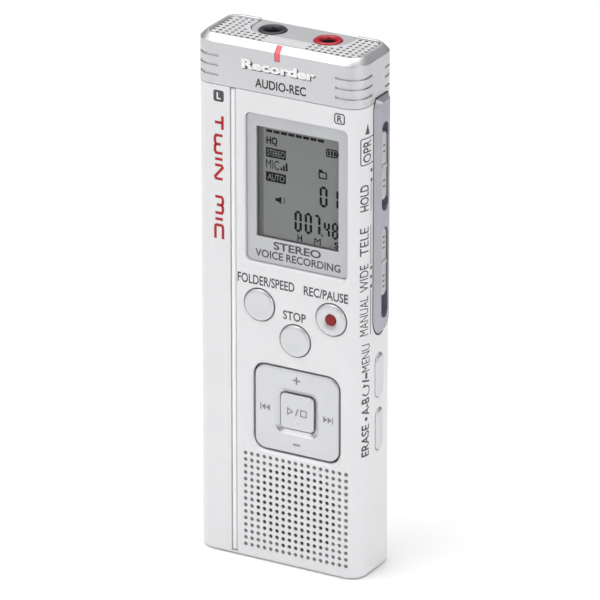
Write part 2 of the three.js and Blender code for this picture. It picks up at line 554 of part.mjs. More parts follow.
class Coil extends THREE.Curve {
  constructor(x, low, high, turns) {
    super();
    Object.assign(this, { x, low, high, turns });
  }

  getPoint(t) {
    const angle = t * this.turns * 2 * Math.PI;
    const radius = 3.2 - 1.2 * t;
    return new THREE.Vector3(this.x + radius * Math.cos(angle), CELL_Y + radius * Math.sin(angle),
      this.low + (this.high - this.low) * t);
  }
}
function spring(x, low, high) {
  const turns = 3;
  const wire = polygon([[0.22, 0], [0, 0.22], [-0.22, 0], [0, -0.22]]);
  return new THREE.ExtrudeGeometry(wire, { steps: turns * 10, bevelEnabled: false,
    extrudePath: new Coil(x, low, high, turns) });
}
add('spring_contact_1', spring(-cellX, CELL_LOW + 0.1, CELL_HIGH - 0.3), STEEL);
add('spring_contact_2', spring(cellX, CELL_LOW + CELL.length + 2.55, CELL_LOW + CELL.length + 0.3), STEEL);
const plateTop = CELL_LOW - 0.1;
add('plate_contact', box(cellX - 3, cellX + 3, CELL_Y - 3, CELL_Y + 3, plateTop - 0.3, plateTop), STEEL);
const bridgeLow = CELL_HIGH + CELL.length + 0.1;
add('bridge_contact', box(-9, 9, CELL_Y - 3, CELL_Y + 3, bridgeLow, bridgeLow + 0.3), STEEL);

// ---------------------------------------------------------------- battery door and screws
// The door's lower edge is round about its hinge line, so that it can swing out and down.
const HINGE = { y: BACK - 0.65, z: DOOR.low + 0.65, radius: 0.65 };
function batteryDoor() {
  const section = new THREE.Shape();
  section.moveTo(BACK, DOOR.high);
  section.lineTo(BACK - DOOR.thickness, DOOR.high);
  section.lineTo(BACK - DOOR.thickness, HINGE.z);
  section.absarc(HINGE.y, HINGE.z, HINGE.radius, Math.PI, Math.PI * 2);
  return solid(prismX(section, -DOOR.halfWidth, DOOR.halfWidth, 8));
}
addSolid('battery_door', batteryDoor(), WHITE);

for (const [index, [x, z]] of SCREWS.entries()) {
  const [head, tip] = [BACK - 1.9, PARTING - 4];
  const profile = [[0, tip], [0.7, tip + 0.4], [0.7, head], [1.5, head], [1.5, head + 0.9], [0.5, head + 0.9],
    [0.4, head + 0.5], [0, head + 0.5]];
  add(`screw_${index + 1}`, turnY(profile, 10, x, z), STEEL);
}

// ---------------------------------------------------------------- origin: middle of the box's foot
const bounds = new THREE.Box3().setFromObject(recorder);
const centre = bounds.getCenter(new THREE.Vector3());
recorder.position.set(-centre.x, -centre.y, -bounds.min.z);
recorder.updateMatrixWorld(true);

export default recorder;
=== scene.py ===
import json
import math

import bmesh
import bpy
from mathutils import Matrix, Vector

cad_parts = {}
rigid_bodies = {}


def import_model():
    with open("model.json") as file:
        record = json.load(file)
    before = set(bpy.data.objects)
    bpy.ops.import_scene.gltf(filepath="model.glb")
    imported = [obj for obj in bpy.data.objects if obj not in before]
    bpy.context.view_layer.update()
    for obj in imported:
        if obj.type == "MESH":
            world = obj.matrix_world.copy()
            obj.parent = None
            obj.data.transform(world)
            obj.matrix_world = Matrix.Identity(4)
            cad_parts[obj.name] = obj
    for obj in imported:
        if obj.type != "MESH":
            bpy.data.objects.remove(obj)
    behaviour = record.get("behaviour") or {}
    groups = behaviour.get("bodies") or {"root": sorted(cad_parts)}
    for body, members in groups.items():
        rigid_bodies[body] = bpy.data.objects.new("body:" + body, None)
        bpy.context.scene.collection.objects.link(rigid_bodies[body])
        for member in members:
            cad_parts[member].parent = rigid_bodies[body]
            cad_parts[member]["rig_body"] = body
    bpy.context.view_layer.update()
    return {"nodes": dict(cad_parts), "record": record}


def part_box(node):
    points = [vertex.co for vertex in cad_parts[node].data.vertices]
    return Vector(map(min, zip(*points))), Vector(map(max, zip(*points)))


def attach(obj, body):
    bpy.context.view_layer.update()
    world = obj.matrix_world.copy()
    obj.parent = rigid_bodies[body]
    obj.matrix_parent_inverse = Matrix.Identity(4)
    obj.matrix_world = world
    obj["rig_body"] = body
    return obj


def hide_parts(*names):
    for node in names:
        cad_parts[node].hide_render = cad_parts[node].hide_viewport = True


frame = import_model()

MM = 0.001
cap_low, cap_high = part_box("top_cap")
ORIGIN = Vector(((cap_low.x + cap_high.x) / 2, (cap_low.y + cap_high.y) / 2, 0))

# ---------------- driving dimensions, millimetres
WIDTH, DEPTH, HEIGHT = 39.2, 15.4, 116.0
SIDE, BACK, FRONT = WIDTH / 2, DEPTH / 2, -DEPTH / 2
CORNER = 4.0
WALL = 1.4
INSIDE = FRONT + WALL
SEAM = 105.3                                # between the covers and the cap
CHAMFER = 1.35                              # along the cap's upper edge
PARTING = 0.8                               # depth where the front and rear covers meet
PANEL = 4.4                                 # middle of the keys, the pad and the speaker dots
TRIM_X, TRIM_RADIUS = -10.4, 0.6
WINDOW_X, WINDOW_Z, WINDOW_WIDTH, WINDOW_HEIGHT, WINDOW_CORNER = 4.5, 84.15, 24.2, 33.0, 1.4
WINDOW_FACE = FRONT + 0.8
LCD_X, LCD_Z, LCD_WIDTH, LCD_HEIGHT = 4.4, 85.5, 19.3, 24.4
LCD_FACE = FRONT + 1.56
KEY_RADIUS, KEY_PROUD = 3.5, 0.4
KEYS = {"folder": (PANEL - 8.5, 58.4), "record": (PANEL + 8.5, 58.4), "stop": (PANEL, 51.95)}
PAD_Z, PAD_WIDTH, PAD_HEIGHT, PAD_CORNER = 35.4, 20.0, 19.0, 2.6
PAD_FACE = FRONT + 0.5
PLAY_SIDE, PLAY_FACE = 7.9, FRONT + 0.6
DOT_PITCH, DOT_COLUMNS, DOT_ROWS, DOT_TOP, DOT_REACH = 1.5, 17, 15, 24.1, 9.9
BEZEL = SIDE + 1.25
SLIDE_SLOTS = {"hold": (91.1, 19.4), "range": (67.6, 20.0)}             # middle z, length
SLIDE_KNOBS = {"hold": (91.1, (3.2, 4.5)), "range": (69.9, (3.1, 4.3, 5.5))}    # middle z, grip lines
SLOT_WIDTH, NECK_WIDTH, KNOB_WIDTH, KNOB_LENGTH = 2.8, 1.6, 2.5, 15
SIDE_KEYS = {"menu": (44.3, 9.8, 3.4), "erase": (32.1, 9.4, 3.0)}       # middle z, length, width
LEDGE = HEIGHT - 1.1                        # shelf under the grille and the socket plate
GRILLE_TOP = HEIGHT - 0.25
MIC_START, MIC_PITCH, MIC_COLUMNS, MIC_ROWS = 5.5, (1.43, 1.38), 9, 8
MIC_RIM, MIC_GAP = 2.45, 0.75               # from a hole's middle to the body's side and to the socket plate
BAND_LOWS, BAND_HEIGHT, BAND_DEPTH = (111.5, 109.4, 107.3), 0.6, 0.35   # grooves round the cap's corners
BAND_END_X, BAND_END_Y = 13.7, 2.7
JACK_X, JACK_Y, JACK_HOLE, JACK_RING = 6.5, 2.45, 3.6, 5.9
JACKS = ((-JACK_X, JACK_Y), (JACK_X, JACK_Y))
PIPE_X, PIPE_HALF = 0.15, 0.6
PLATE_HALF, PLATE_FRONT, PLATE_CORNER, PLATE_BACK = 11.4, -1.2, 4.6, BACK - 0.62
DOOR_HALF, DOOR_LOW, DOOR_HIGH, DOOR_THICK = 10.9, 25.6, 72.4, 1.25
DOOR_Z, DOOR_LENGTH = (DOOR_LOW + DOOR_HIGH) / 2, DOOR_HIGH - DOOR_LOW
HINGE_RADIUS = 0.65
RIB_TOP, RIB_PITCH, RIB_COUNT = 62.0, 1.5, 5
LABEL_Z, LABEL_WIDTH, LABEL_HEIGHT, LABEL_BED = 87.5, 24.0, 20.0, BACK - 0.12
CELL_RADIUS, CELL_LENGTH, NUB_LENGTH, CELL_X = 5.25, 44.5, 0.8, 5.4
CELL_Y = BACK - 1.3 - CELL_RADIUS
CELLS = {"battery_1": (-CELL_X, 27.7, 1), "battery_2": (CELL_X, 24.9, -1)}      # x, low end, nub up or down
SCREWS = ((-15.6, 5.4), (15.6, 5.4), (-15.6, 98.6), (15.9, 52.6))
USB_LOW, USB_HIGH = (-3.25, 86.0), (0.45, 93.7)                         # y, z
PRINT = 0.015                               # how far print stands off its face


# ---------------- outlines, as functions of an inset
def rounded(width, height, radius, cx=0.0, cy=0.0, sides=10):
    def ring(inset=0.0):
        r = max(radius - inset, 0.001)
        x, y = width / 2 - inset - r, height / 2 - inset - r
        points = []
        for corner, (sx, sy) in enumerate(((1, 1), (-1, 1), (-1, -1), (1, -1))):
            for step in range(sides + 1):
                angle = math.radians(90 * (corner + step / sides))
                points.append((cx + sx * x + r * math.cos(angle), cy + sy * y + r * math.sin(angle)))
        return points
    return ring


def circle(radius, cx=0.0, cy=0.0, sides=48):
    def ring(inset=0.0):
        r = max(radius - inset, 0.001)
        turns = [2 * math.pi * (step + 0.5) / sides for step in range(sides)]
        return [(cx + r * math.cos(turn), cy + r * math.sin(turn)) for turn in turns]
    return ring


def dot(radius):
    return circle(radius, sides=18)


def pill(width, length, middle):
    """An upright oval on the right side, over the line where the covers meet."""
    return rounded(width, length, width / 2, PARTING, middle, sides=14)


def plan(inset=0.0, sides=10):
    """The body from above."""
    return rounded(WIDTH - 2 * inset, DEPTH - 2 * inset, CORNER - inset, sides=sides)


def jack_plate_outline(inset=0.0):
    points = [(PLATE_HALF - inset, PLATE_BACK - inset), (-PLATE_HALF + inset, PLATE_BACK - inset)]
    for side, start in ((-1, 180), (1, 270)):
        for step in range(17):
            angle = math.radians(start + 90 * step / 16)
            x = side * (PLATE_HALF - PLATE_CORNER) + (PLATE_CORNER - inset) * math.cos(angle)
            points.append((x, PLATE_FRONT + PLATE_CORNER + (PLATE_CORNER - inset) * math.sin(angle)))
    return points


# ---------------- solids
PLANES = {
    "front": lambda a, b, depth: (a, depth, b),
    "side": lambda a, b, depth: (depth, a, b),
    "top": lambda a, b, depth: (a, b, depth),
}


def in_metres(point):
    return Vector(point) * MM + ORIGIN


def add_object(name, data):
    made = bpy.data.objects.new(name, data)
    bpy.context.scene.collection.objects.link(made)
    return made


def add_mesh(name, bm):
    bmesh.ops.recalc_face_normals(bm, faces=bm.faces)
    mesh = bpy.data.meshes.new(name)
    bm.to_mesh(mesh)
    bm.free()
    return add_object(name, mesh)


def add_skin(bm, rings, loop=False):
    rows = [[bm.verts.new(in_metres(point)) for point in ring] for ring in rings]
    pairs = list(zip(rows, rows[1:])) + ([(rows[-1], rows[0])] if loop else [])
    for lower, upper in pairs:
        for i in range(len(lower)):
            j = (i + 1) % len(lower)
            bm.faces.new((lower[i], lower[j], upper[j], upper[i]))
    if not loop:
        bm.faces.new(rows[0][::-1])
        bm.faces.new(rows[-1])


def clean_mesh(name, bm):
    bmesh.ops.remove_doubles(bm, verts=bm.verts, dist=2e-7)
    bmesh.ops.dissolve_degenerate(bm, edges=bm.edges, dist=1e-8)
    return add_mesh(name, bm)


def skin(name, rings, loop=False):
    """A closed skin over a row of rings; a looped one joins its last ring to its first."""
    bm = bmesh.new()
    add_skin(bm, rings, loop)
    return clean_mesh(name, bm)


def solid(name, outline, rows, plane="front", centres=((0.0, 0.0),)):
    """Rings of one outline at each (depth, inset), repeated at each centre."""
    bm = bmesh.new()
    lay = PLANES[plane]
    for da, db in centres:
        add_skin(bm, [[lay(a + da, b + db, depth) for a, b in outline(inset)] for depth, inset in rows])
    return clean_mesh(name, bm)


def turned(name, profile, plane, cx, cy, sides=48, loop=False):
    """A round solid from [radius, depth] points."""
    return skin(name, [[PLANES[plane](a, b, depth) for a, b in circle(radius, cx, cy, sides)()]
                       for radius, depth in profile], loop)


def box(name, low, high):
    (x0, y0, z0), (x1, y1, z1) = low, high
    return skin(name, [[(x0, y0, z), (x1, y0, z), (x1, y1, z), (x0, y1, z)] for z in (z0, z1)])


def eased(near, far, near_radius=0.0, far_radius=0.0, steps=5):
    """(depth, inset) rows of a solid whose ends have rounded edges where a radius is given."""
    sign = 1 if far > near else -1
    turns = [math.pi / 2 * step / steps for step in range(steps + 1)]
    curve = [(1 - math.cos(turn), 1 - math.sin(turn)) for turn in turns]
    rows = [(near + sign * near_radius * rise, near_radius * inset) for rise, inset in curve]
    rows += [(far - sign * far_radius * rise, far_radius * inset) for rise, inset in curve[::-1]]
    if not near_radius:
        rows = [(near, 0.0)] + rows[steps + 1:]
    if not far_radius:
        rows = rows[:-steps - 1] + [(far, 0.0)]
    return rows


def mouth(front, back, chamfer):
    """Rows of a cutter that leaves a chamfered edge at the front of its hole."""
    sign = 1 if back > front else -1
    return [(front - sign, -1 - chamfer), (front + sign * chamfer, 0.0), (back, 0.0)]


def evaluated_mesh(piece):
    depsgraph = bpy.context.evaluated_depsgraph_get()
    return bpy.data.meshes.new_from_object(piece.evaluated_get(depsgraph))


def bake(piece):
    mesh, old = evaluated_mesh(piece), piece.data
    piece.modifiers.clear()
    piece.data = mesh
    bpy.data.meshes.remove(old)


def carve(piece, *tools, operation="DIFFERENCE"):
    for tool in tools:
        modifier = piece.modifiers.new("carve", "BOOLEAN")
        modifier.solver = "MANIFOLD"
        modifier.operation = operation
        modifier.object = tool
        bake(piece)
        bpy.data.objects.remove(tool)
    return piece


# ---------------- materials
CLOUD_SIZE, SCRATCH_SIZE, RELIEF = 9, 1.2, 0.05       # millimetres
GLOSS_SPREAD, COAT_ROUGHNESS, PANE_IOR = 0.1, 0.12, 1.49


def feed(tree, node, values):
    """Sets a node's inputs to plain values, or links them where the value is another node's output."""
    for key, value in values.items():
        if isinstance(value, bpy.types.NodeSocket):
            tree.links.new(value, node.inputs[key])
        else:
            node.inputs[key].default_value = value


def add_node(tree, kind, values, output=0, operation=None):
    """A new shader node with its inputs fed; gives back the output of that name or number."""
    node = tree.nodes.new("ShaderNode" + kind)
    if operation:
        node.operation = operation
    feed(tree, node, values)
    return node.outputs[output]


def new_material(name):
    material = bpy.data.materials.new(name)
    material.use_nodes = True
    tree = material.node_tree
    return material, tree, add_node(tree, "TexCoord", {}, "Object")


def finish(name, colour, roughness, metallic, tone, grain, bump, grain_size=0.25, coat=0.0, painted_glow=0.0, ior=1.5,
           streak=(1, 1, 1)):
    """A moulded, painted or metal finish: soft cloudiness, fine grain, uneven gloss and a faint texture, and
    a painted glow where one is given.
    """
    material, tree, place = new_material(name)
    stretched = add_node(tree, "VectorMath", {0: place, 1: streak}, operation="MULTIPLY")
    cloud = add_node(tree, "TexNoise", {"Vector": place, "Scale": 1000 / CLOUD_SIZE, "Detail": 3}, "Fac")
    grains = {"Vector": stretched, "Scale": 1000 / grain_size, "Detail": 4, "Roughness": 0.6}
    fine = add_node(tree, "TexNoise", grains, "Fac")

    def vary(noise, amount):
        low, high = 1 - amount, 1 + amount
        spread = {"Value": noise, "From Min": 0.3, "From Max": 0.7, "To Min": low, "To Max": high}
        return add_node(tree, "MapRange", spread, "Result")

    both = add_node(tree, "Math", {0: vary(cloud, tone), 1: vary(fine, grain)}, operation="MULTIPLY")
    tint = add_node(tree, "VectorMath", {0: colour, "Scale": both}, "Vector", "SCALE")
    gloss = add_node(tree, "Math", {0: vary(fine, GLOSS_SPREAD), 1: roughness}, operation="MULTIPLY")
    relief = add_node(tree, "Bump", {"Strength": bump, "Distance": RELIEF * MM, "Height": fine}, "Normal")
    shader = tree.nodes["Principled BSDF"]
    feed(tree, shader, {"Base Color": tint, "Roughness": gloss, "Normal": relief, "Metallic": metallic,
                        "IOR": ior, "Coat Weight": coat, "Coat Roughness": COAT_ROUGHNESS})
    if painted_glow:
        feed(tree, shader, {"Emission Color": tint, "Emission Strength": painted_glow})
    return material


def clear_pane(name, tint, shine_share):
    """A thin clear plastic pane: see-through, with a fresnel shine that fine scratches break up."""
    material, tree, place = new_material(name)
    tree.nodes.remove(tree.nodes["Principled BSDF"])
    fine = add_node(tree, "TexNoise", {"Vector": place, "Scale": 1000 / SCRATCH_SIZE}, "Fac")
    rough = add_node(tree, "MapRange", {"Value": fine, "To Min": 0.03, "To Max": 0.12}, "Result")
    through = add_node(tree, "BsdfTransparent", {"Color": (*tint, 1)}, "BSDF")
    shine = add_node(tree, "BsdfGlossy", {"Roughness": rough}, "BSDF")
    edge = add_node(tree, "Fresnel", {"IOR": PANE_IOR}, "Fac")
    weaker = add_node(tree, "Math", {0: edge, 1: shine_share}, operation="MULTIPLY")
    mix = add_node(tree, "MixShader", {"Fac": weaker, 1: through, 2: shine}, "Shader")
    feed(tree, tree.nodes["Material Output"], {"Surface": mix})
    return material


# Each: colour, roughness, metallic, cloudiness, grain, relief, and the grain's size where it isn't 0.25 mm.
WHITE = finish("satin_white_plastic", (0.82, 0.82, 0.835), 0.36, 0, 0.012, 0.01, 0.03, coat=0.15)
# The covers' white made darker for the grille on top: painted shade, against the stronger light on top faces.
GRILLE_PAINTED_SHADE_WHITE = finish("satin_white_grille_painted_shade", (0.62, 0.62, 0.63), 0.4, 0.1, 0.012, 0.015, 0.03)
CLOTH = finish("dark_acoustic_cloth", (0.03, 0.03, 0.032), 0.9, 0, 0.1, 0.3, 0.3, 0.12)
SPEAKER_CLOTH = finish("grey_speaker_cloth", (0.07, 0.07, 0.073), 0.9, 0, 0.1, 0.3, 0.3, 0.12)
# Painted shade: a grey for the floors of the shallow speaker dimples, standing in for the shade in them.
DIMPLE_PAINTED_SHADE = finish("dimple_painted_shade", (0.2, 0.2, 0.205), 0.8, 0, 0.05, 0.1, 0.1, 0.12)
CAP_SILVER = finish("fine_silver_paint", (0.66, 0.663, 0.68), 0.42, 0.72, 0.02, 0.05, 0.05, 0.2)
RAISED = finish("raised_letter_silver", (0.93, 0.93, 0.94), 0.34, 0.3, 0.02, 0.02, 0.02)
PURPLE = finish("purple_silver_paint", (0.42, 0.4, 0.45), 0.37, 0.75, 0.03, 0.06, 0.1, 0.2)
# Painted shade: the bezel's purple, much darker, for the floors of its slots.
PURPLE_PAINTED_SHADE = finish("purple_painted_shade", (0.1, 0.085, 0.12), 0.5, 0.1, 0.04, 0.05, 0.02)
KNOB = finish("satin_grey_plastic", (0.53, 0.53, 0.545), 0.38, 0.2, 0.02, 0.05, 0.06)
PLATE = finish("grey_painted_plate", (0.5, 0.505, 0.52), 0.4, 0.3, 0.015, 0.03, 0.05)
KEY_SILVER = finish("satin_silver_plastic", (0.66, 0.665, 0.68), 0.37, 0.72, 0.02, 0.015, 0.02, 0.2)
BORDER = finish("fine_silver_print", (0.54, 0.545, 0.565), 0.36, 0.3, 0.015, 0.07, 0.05, 0.2)
RED = finish("red_plastic", (0.27, 0.002, 0.005), 0.6, 0, 0.05, 0.04, 0.04)
# The translucent red gets a faint painted glow: light of its own, though no lamp is in it.
RED_CLEAR = finish("translucent_red", (0.78, 0.09, 0.13), 0.18, 0, 0.06, 0.04, 0.02, coat=0.5, painted_glow=0.12)
RED_RING = finish("red_socket_ring", (0.42, 0.016, 0.03), 0.36, 0, 0.05, 0.04, 0.05)
BLACK = finish("black_plastic", (0.025, 0.025, 0.028), 0.45, 0, 0.15, 0.2, 0.1)
DARK_RING = finish("dark_socket_ring", (0.035, 0.036, 0.042), 0.4, 0, 0.06, 0.08, 0.06)
CAP_INK = finish("dark_ink", (0.028, 0.028, 0.031), 0.6, 0, 0.08, 0.12, 0.02, 0.12)
INK = finish("grey_ink", (0.075, 0.075, 0.081), 0.55, 0, 0.08, 0.12, 0.02, 0.12)
GRIP_GREY = finish("grip_line_grey", (0.1, 0.1, 0.105), 0.5, 0, 0.06, 0.08, 0.02, 0.12)
WHITE_INK = finish("white_ink", (0.85, 0.85, 0.86), 0.5, 0, 0.03, 0.04, 0.02)
RED_INK = finish("red_ink", (0.46, 0.004, 0.014), 0.5, 0, 0.06, 0.08, 0.02, 0.12)
LCD_GROUND = finish("display_ground", (0.22, 0.223, 0.22), 0.3, 0.15, 0.03, 0.03, 0.03, 0.15)
# Painted shadow: darker bands along the display's left and bottom edges, standing in for the shadow of the
# window border.
LCD_PAINTED_SHADOW = finish("display_painted_shadow", (0.11, 0.112, 0.11), 0.35, 0, 0.04, 0.04, 0.03)
# Grey of the lid's print, and of the pad's and middle key's signs, where it is painted shade of engraving.
ICON_GREY = finish("icon_grey", (0.24, 0.24, 0.25), 0.45, 0.2, 0.05, 0.06, 0.02, 0.15)
LCD_DARK = finish("display_segments", (0.006, 0.006, 0.008), 0.7, 0, 0.1, 0.1, 0.02, ior=1.12)
PANE = clear_pane("clear_pane", (0.98, 0.985, 0.985), 0.12)
BOARD = finish("circuit_board", (0.02, 0.16, 0.07), 0.45, 0, 0.2, 0.25, 0.2, 0.6)
# Rubber for the CAD's rubber parts; also the dark of the painted shadow rim under the bezel.
RUBBER_AND_PAINTED_SHADOW = finish("moulded_rubber_and_painted_shadow", (0.045, 0.045, 0.05), 0.8, 0, 0.1, 0.12, 0.3, 0.3)
STEEL = finish("brushed_steel", (0.5, 0.5, 0.51), 0.36, 1.0, 0.05, 0.08, 0.08, 0.5, streak=(1, 1, 0.15))
AMBER = finish("polyimide_film", (0.55, 0.24, 0.05), 0.35, 0, 0.12, 0.1, 0.03)
COPPER = finish("copper_foil_print", (0.62, 0.33, 0.14), 0.34, 0.7, 0.04, 0.05, 0.03, coat=0.3)
SLEEVE = finish("cell_sleeve", (0.03, 0.09, 0.24), 0.3, 0.3, 0.06, 0.05, 0.03, coat=0.4)

# The finishes of each slot. The first of them also goes on the CAD nodes that are shown as they are.
SLOT_FINISHES = {
    "white_plastic": (WHITE, GRILLE_PAINTED_SHADE_WHITE, WHITE_INK),
    "silver_paint": (CAP_SILVER,), "bright_trim": (RAISED,),
    "purple_silver": (PURPLE, PURPLE_PAINTED_SHADE),
    "knob_grey": (KNOB, GRIP_GREY),
    "plate_grey": (PLATE,), "key_silver": (KEY_SILVER,),
    "red_plastic": (RED, RED_CLEAR, RED_RING, RED_INK),
    "black_plastic": (BLACK, CLOTH, SPEAKER_CLOTH, DIMPLE_PAINTED_SHADE, DARK_RING, CAP_INK, INK, ICON_GREY, LCD_DARK),
    "clear_window": (PANE, BORDER),
    "display": (LCD_GROUND, LCD_PAINTED_SHADOW),
    "circuit_board": (BOARD,), "rubber": (RUBBER_AND_PAINTED_SHADOW,), "steel": (STEEL,), "polyimide": (AMBER,),
    "cell_sleeve": (SLEEVE, COPPER),
}


# ---------------- handing a piece over
def dress(piece, look, node=None, body="case", crease=34):
    """Gives a piece its material, shading and body, and lets it stand for a CAD node if one is named."""
    piece.data.materials.clear()
    piece.data.materials.append(look)
    piece.data.shade_smooth()
    piece.data.set_sharp_from_angle(angle=math.radians(crease))
    weighted = piece.modifiers.new("flat_faces", "WEIGHTED_NORMAL")
    weighted.keep_sharp = True
    weighted.weight = 100
    bake(piece)
    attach(piece, frame["nodes"][node]["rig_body"] if node else body)
    if node:
        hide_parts(node)


# ---------------- flat marks: print, legends and display segments
def glyphs(text, weight):
    """Points and faces of a line of lettering, from the built-in font."""
    curve = bpy.data.curves.new("line", "FONT")
    curve.body = text
    curve.resolution_u = 4
    curve.offset = weight
    holder = add_object("line", curve)
    mesh = evaluated_mesh(holder)
    points = [(vertex.co.x, vertex.co.y) for vertex in mesh.vertices]
    faces = [tuple(face.vertices) for face in mesh.polygons]
    bpy.data.objects.remove(holder)
    bpy.data.curves.remove(curve)
    bpy.data.meshes.remove(mesh)
    return points, faces


MITRE_LIMIT = 0.4                           # keeps sharp corners of a stroke from running out
ROOT = -0.05                                # foot of a raised mark's side walls, under its face


class Marks:
    """Flat shapes in one mesh, drawn in a plane (a, b) and laid on the object by a function."""

    def __init__(self, name, lay, bend=None, height=0.0, raised=False):
        self.name, self.lay, self.bend, self.height, self.raised = name, lay, bend, height, raised
        self.bm = bmesh.new()

    def faces(self, points, faces):
        corners = [self.bm.verts.new((a, b, 0)) for a, b in points]
        for face in faces:
            self.bm.faces.new([corners[i] for i in face])

    def polygon(self, points):
        self.faces(points, [tuple(range(len(points)))])

    def rect(self, a0, a1, b0, b1):
        self.polygon([(a0, b0), (a1, b0), (a1, b1), (a0, b1)])

    def disc(self, a, b, radius, sides):
        self.polygon(circle(radius, a, b, sides)())

    def frame(self, outline, thickness):
        outer, inner = outline(0), outline(thickness)
        count = len(outer)
        quads = [(i, (i + 1) % count, count + (i + 1) % count, count + i) for i in range(count)]
        self.faces(outer + inner, quads)

    def arc(self, a, b, radius, thickness, start, end, steps):
        turns = [math.radians(start + (end - start) * step / steps) for step in range(steps + 1)]
        outer, inner = ([(a + r * math.cos(t), b + r * math.sin(t)) for t in turns]
                        for r in (radius, radius - thickness))
        count = len(turns)
        self.faces(outer + inner, [(i, i + 1, count + i + 1, count + i) for i in range(count - 1)])

    def stroke(self, path, thickness):
        """A line of even thickness along a path, with mitred corners."""
        sides = ([], [])
        for i, point in enumerate(path):
            here = Vector(point)
            before = (here - Vector(path[i - 1])).normalized() if i else None
            after = (Vector(path[i + 1]) - here).normalized() if i < len(path) - 1 else None
            along = ((before or after) + (after or before)).normalized()
            across = Vector((-along.y, along.x))
            reach = thickness / 2 / max(MITRE_LIMIT, abs(along.dot(after or before)))
            sides[0].append(tuple(here + across * reach))
            sides[1].append(tuple(here - across * reach))
        count = len(path)
        self.faces(sides[0] + sides[1], [(count + i, count + i + 1, i + 1, i) for i in range(count - 1)])

    def text(self, words, a0, a1, b0, b1, weight, upward):
        points, faces = glyphs(words, weight)
        low_a, low_b = min(a for a, _ in points), min(b for _, b in points)
        high_a, high_b = max(a for a, _ in points), max(b for _, b in points)
        fitted = []
        for a, b in points:
            along, up = (a - low_a) / (high_a - low_a), (b - low_b) / (high_b - low_b)
            if upward:
                along, up = 1 - up, along
            fitted.append((a0 + along * (a1 - a0), b0 + up * (b1 - b0)))
        self.faces(fitted, faces)

    def texts(self, *lines, upward=False):
        """Lines of lettering, level or reading upward: the words, the box they fill, and their weight."""
        for line in lines:
            self.text(*line, upward)

    def piece(self):
        """The marks as one object, cut into strips that can bend, with side walls where they are raised."""
        bm = self.bm
        if self.bend:
            start, end, step = self.bend
            for k in range(int((end - start) / step)):
                parts = bm.verts[:] + bm.edges[:] + bm.faces[:]
                bmesh.ops.bisect_plane(bm, geom=parts, plane_co=(start + k * step, 0, 0), plane_no=(1, 0, 0))
        walls = bmesh.ops.extrude_face_region(bm, geom=bm.faces[:])["geom"] if self.raised else []
        upper = set(part for part in walls if isinstance(part, bmesh.types.BMVert))
        for vertex in bm.verts:
            height = self.height if vertex in upper or not self.raised else ROOT
            vertex.co = in_metres(self.lay(vertex.co.x, vertex.co.y, height))
        return add_mesh(self.name, bm)


def printed(name, look, lay, height, *lines, body="case", crease=34, raised=False):
    """A piece of lettering and nothing else."""
    marks = Marks(name, lay, height=height, raised=raised)
    marks.texts(*lines)
    dress(marks.piece(), look, body=body, crease=crease)


def facing_front(depth):
    return lambda x, z, height: (x, depth - height, z)


on_front = facing_front(FRONT)


def on_corner(along, z, height):
    """Round the front right edge: along is the distance from where the front face ends."""
    turn = min(along / CORNER, math.pi / 2)
    past = max(0.0, along - CORNER * math.pi / 2)
    radius = CORNER + height
    return (SIDE - CORNER + radius * math.sin(turn), FRONT + CORNER - radius * math.cos(turn) + past, z)


# ---------------- white covers
def cover_block(name):
    outside = solid(name, plan(sides=14), eased(0, SEAM, 1.1, 0.12), "top")
    return carve(outside, solid("inside", plan(WALL), eased(WALL, SEAM + 2), "top"))


def dot_centres():
    """Places of the speaker dots that go through, in a round patch, and of the shallow ones about it."""
    middle = DOT_TOP - DOT_PITCH * (DOT_ROWS - 1) / 2
    through, shallow = [], []
    for row in range(DOT_ROWS):
        for column in range(DOT_COLUMNS):
            across = DOT_PITCH * (column - (DOT_COLUMNS - 1) / 2)
            up = DOT_TOP - DOT_PITCH * row
            near = math.hypot(across, up - middle) < DOT_REACH
            (through if near else shallow).append((PANEL + across, up))
    return through, shallow


def side_openings():
    keys = [solid("key_hole", pill(width + 0.3, length + 0.3, middle), mouth(SIDE, SIDE - 3, 0.1), "side")
            for middle, length, width in SIDE_KEYS.values()]
    necks = [solid("neck_hole", pill(NECK_WIDTH, length, middle), eased(SIDE + 1, SIDE - 3), "side")
             for middle, length in SLIDE_SLOTS.values()]
    return keys + necks


def front_cover():
    cover = cover_block("front_cover_shell")
    carve(cover, box("rear_half", (-40, PARTING - 0.02, -5), (40, 40, 130)))
    through, shallow = dot_centres()
    deep = INSIDE + 1
    pad_rows = [(-1, -1.2), (-0.02, -0.75), (0.1, -0.52), (0.3, -0.25), (0.65, 0), (WALL + 1, 0)]
    dimple_rows = [(FRONT - 1, -0.36), (FRONT + 0.05, 0), (FRONT + 0.22, 0), (FRONT + 0.36, 0.14)]
    window = rounded(WINDOW_WIDTH, WINDOW_HEIGHT, WINDOW_CORNER, WINDOW_X, WINDOW_Z)
    gap = 0.15
    (y0, z0), (y1, z1) = USB_LOW, USB_HIGH
    tools = [
        solid("window", window, mouth(FRONT, deep, 0.12)),
        solid("pad", rounded(PAD_WIDTH + 0.8, PAD_HEIGHT + 0.8, PAD_CORNER + 0.4, PANEL, PAD_Z),
              [(FRONT + depth, inset) for depth, inset in pad_rows]),
        box("groove", (TRIM_X - 0.68, FRONT - 1, 0.9), (TRIM_X + 0.84, FRONT + 0.9, SEAM + 2)),
        solid("keys", circle(KEY_RADIUS + 0.2), mouth(FRONT, deep, 0.1), centres=KEYS.values()),
        solid("dots", dot(0.45), mouth(FRONT, deep, 0.06), centres=through),
        solid("dimples", dot(0.45), dimple_rows, centres=shallow),
        box("usb", (-SIDE - 1, y0 - gap, z0 - gap), (-SIDE + 4, y1 + gap, z1 + gap)),
    ]
    carve(cover, *tools, *side_openings())
    dress(cover, WHITE, "front_cover")


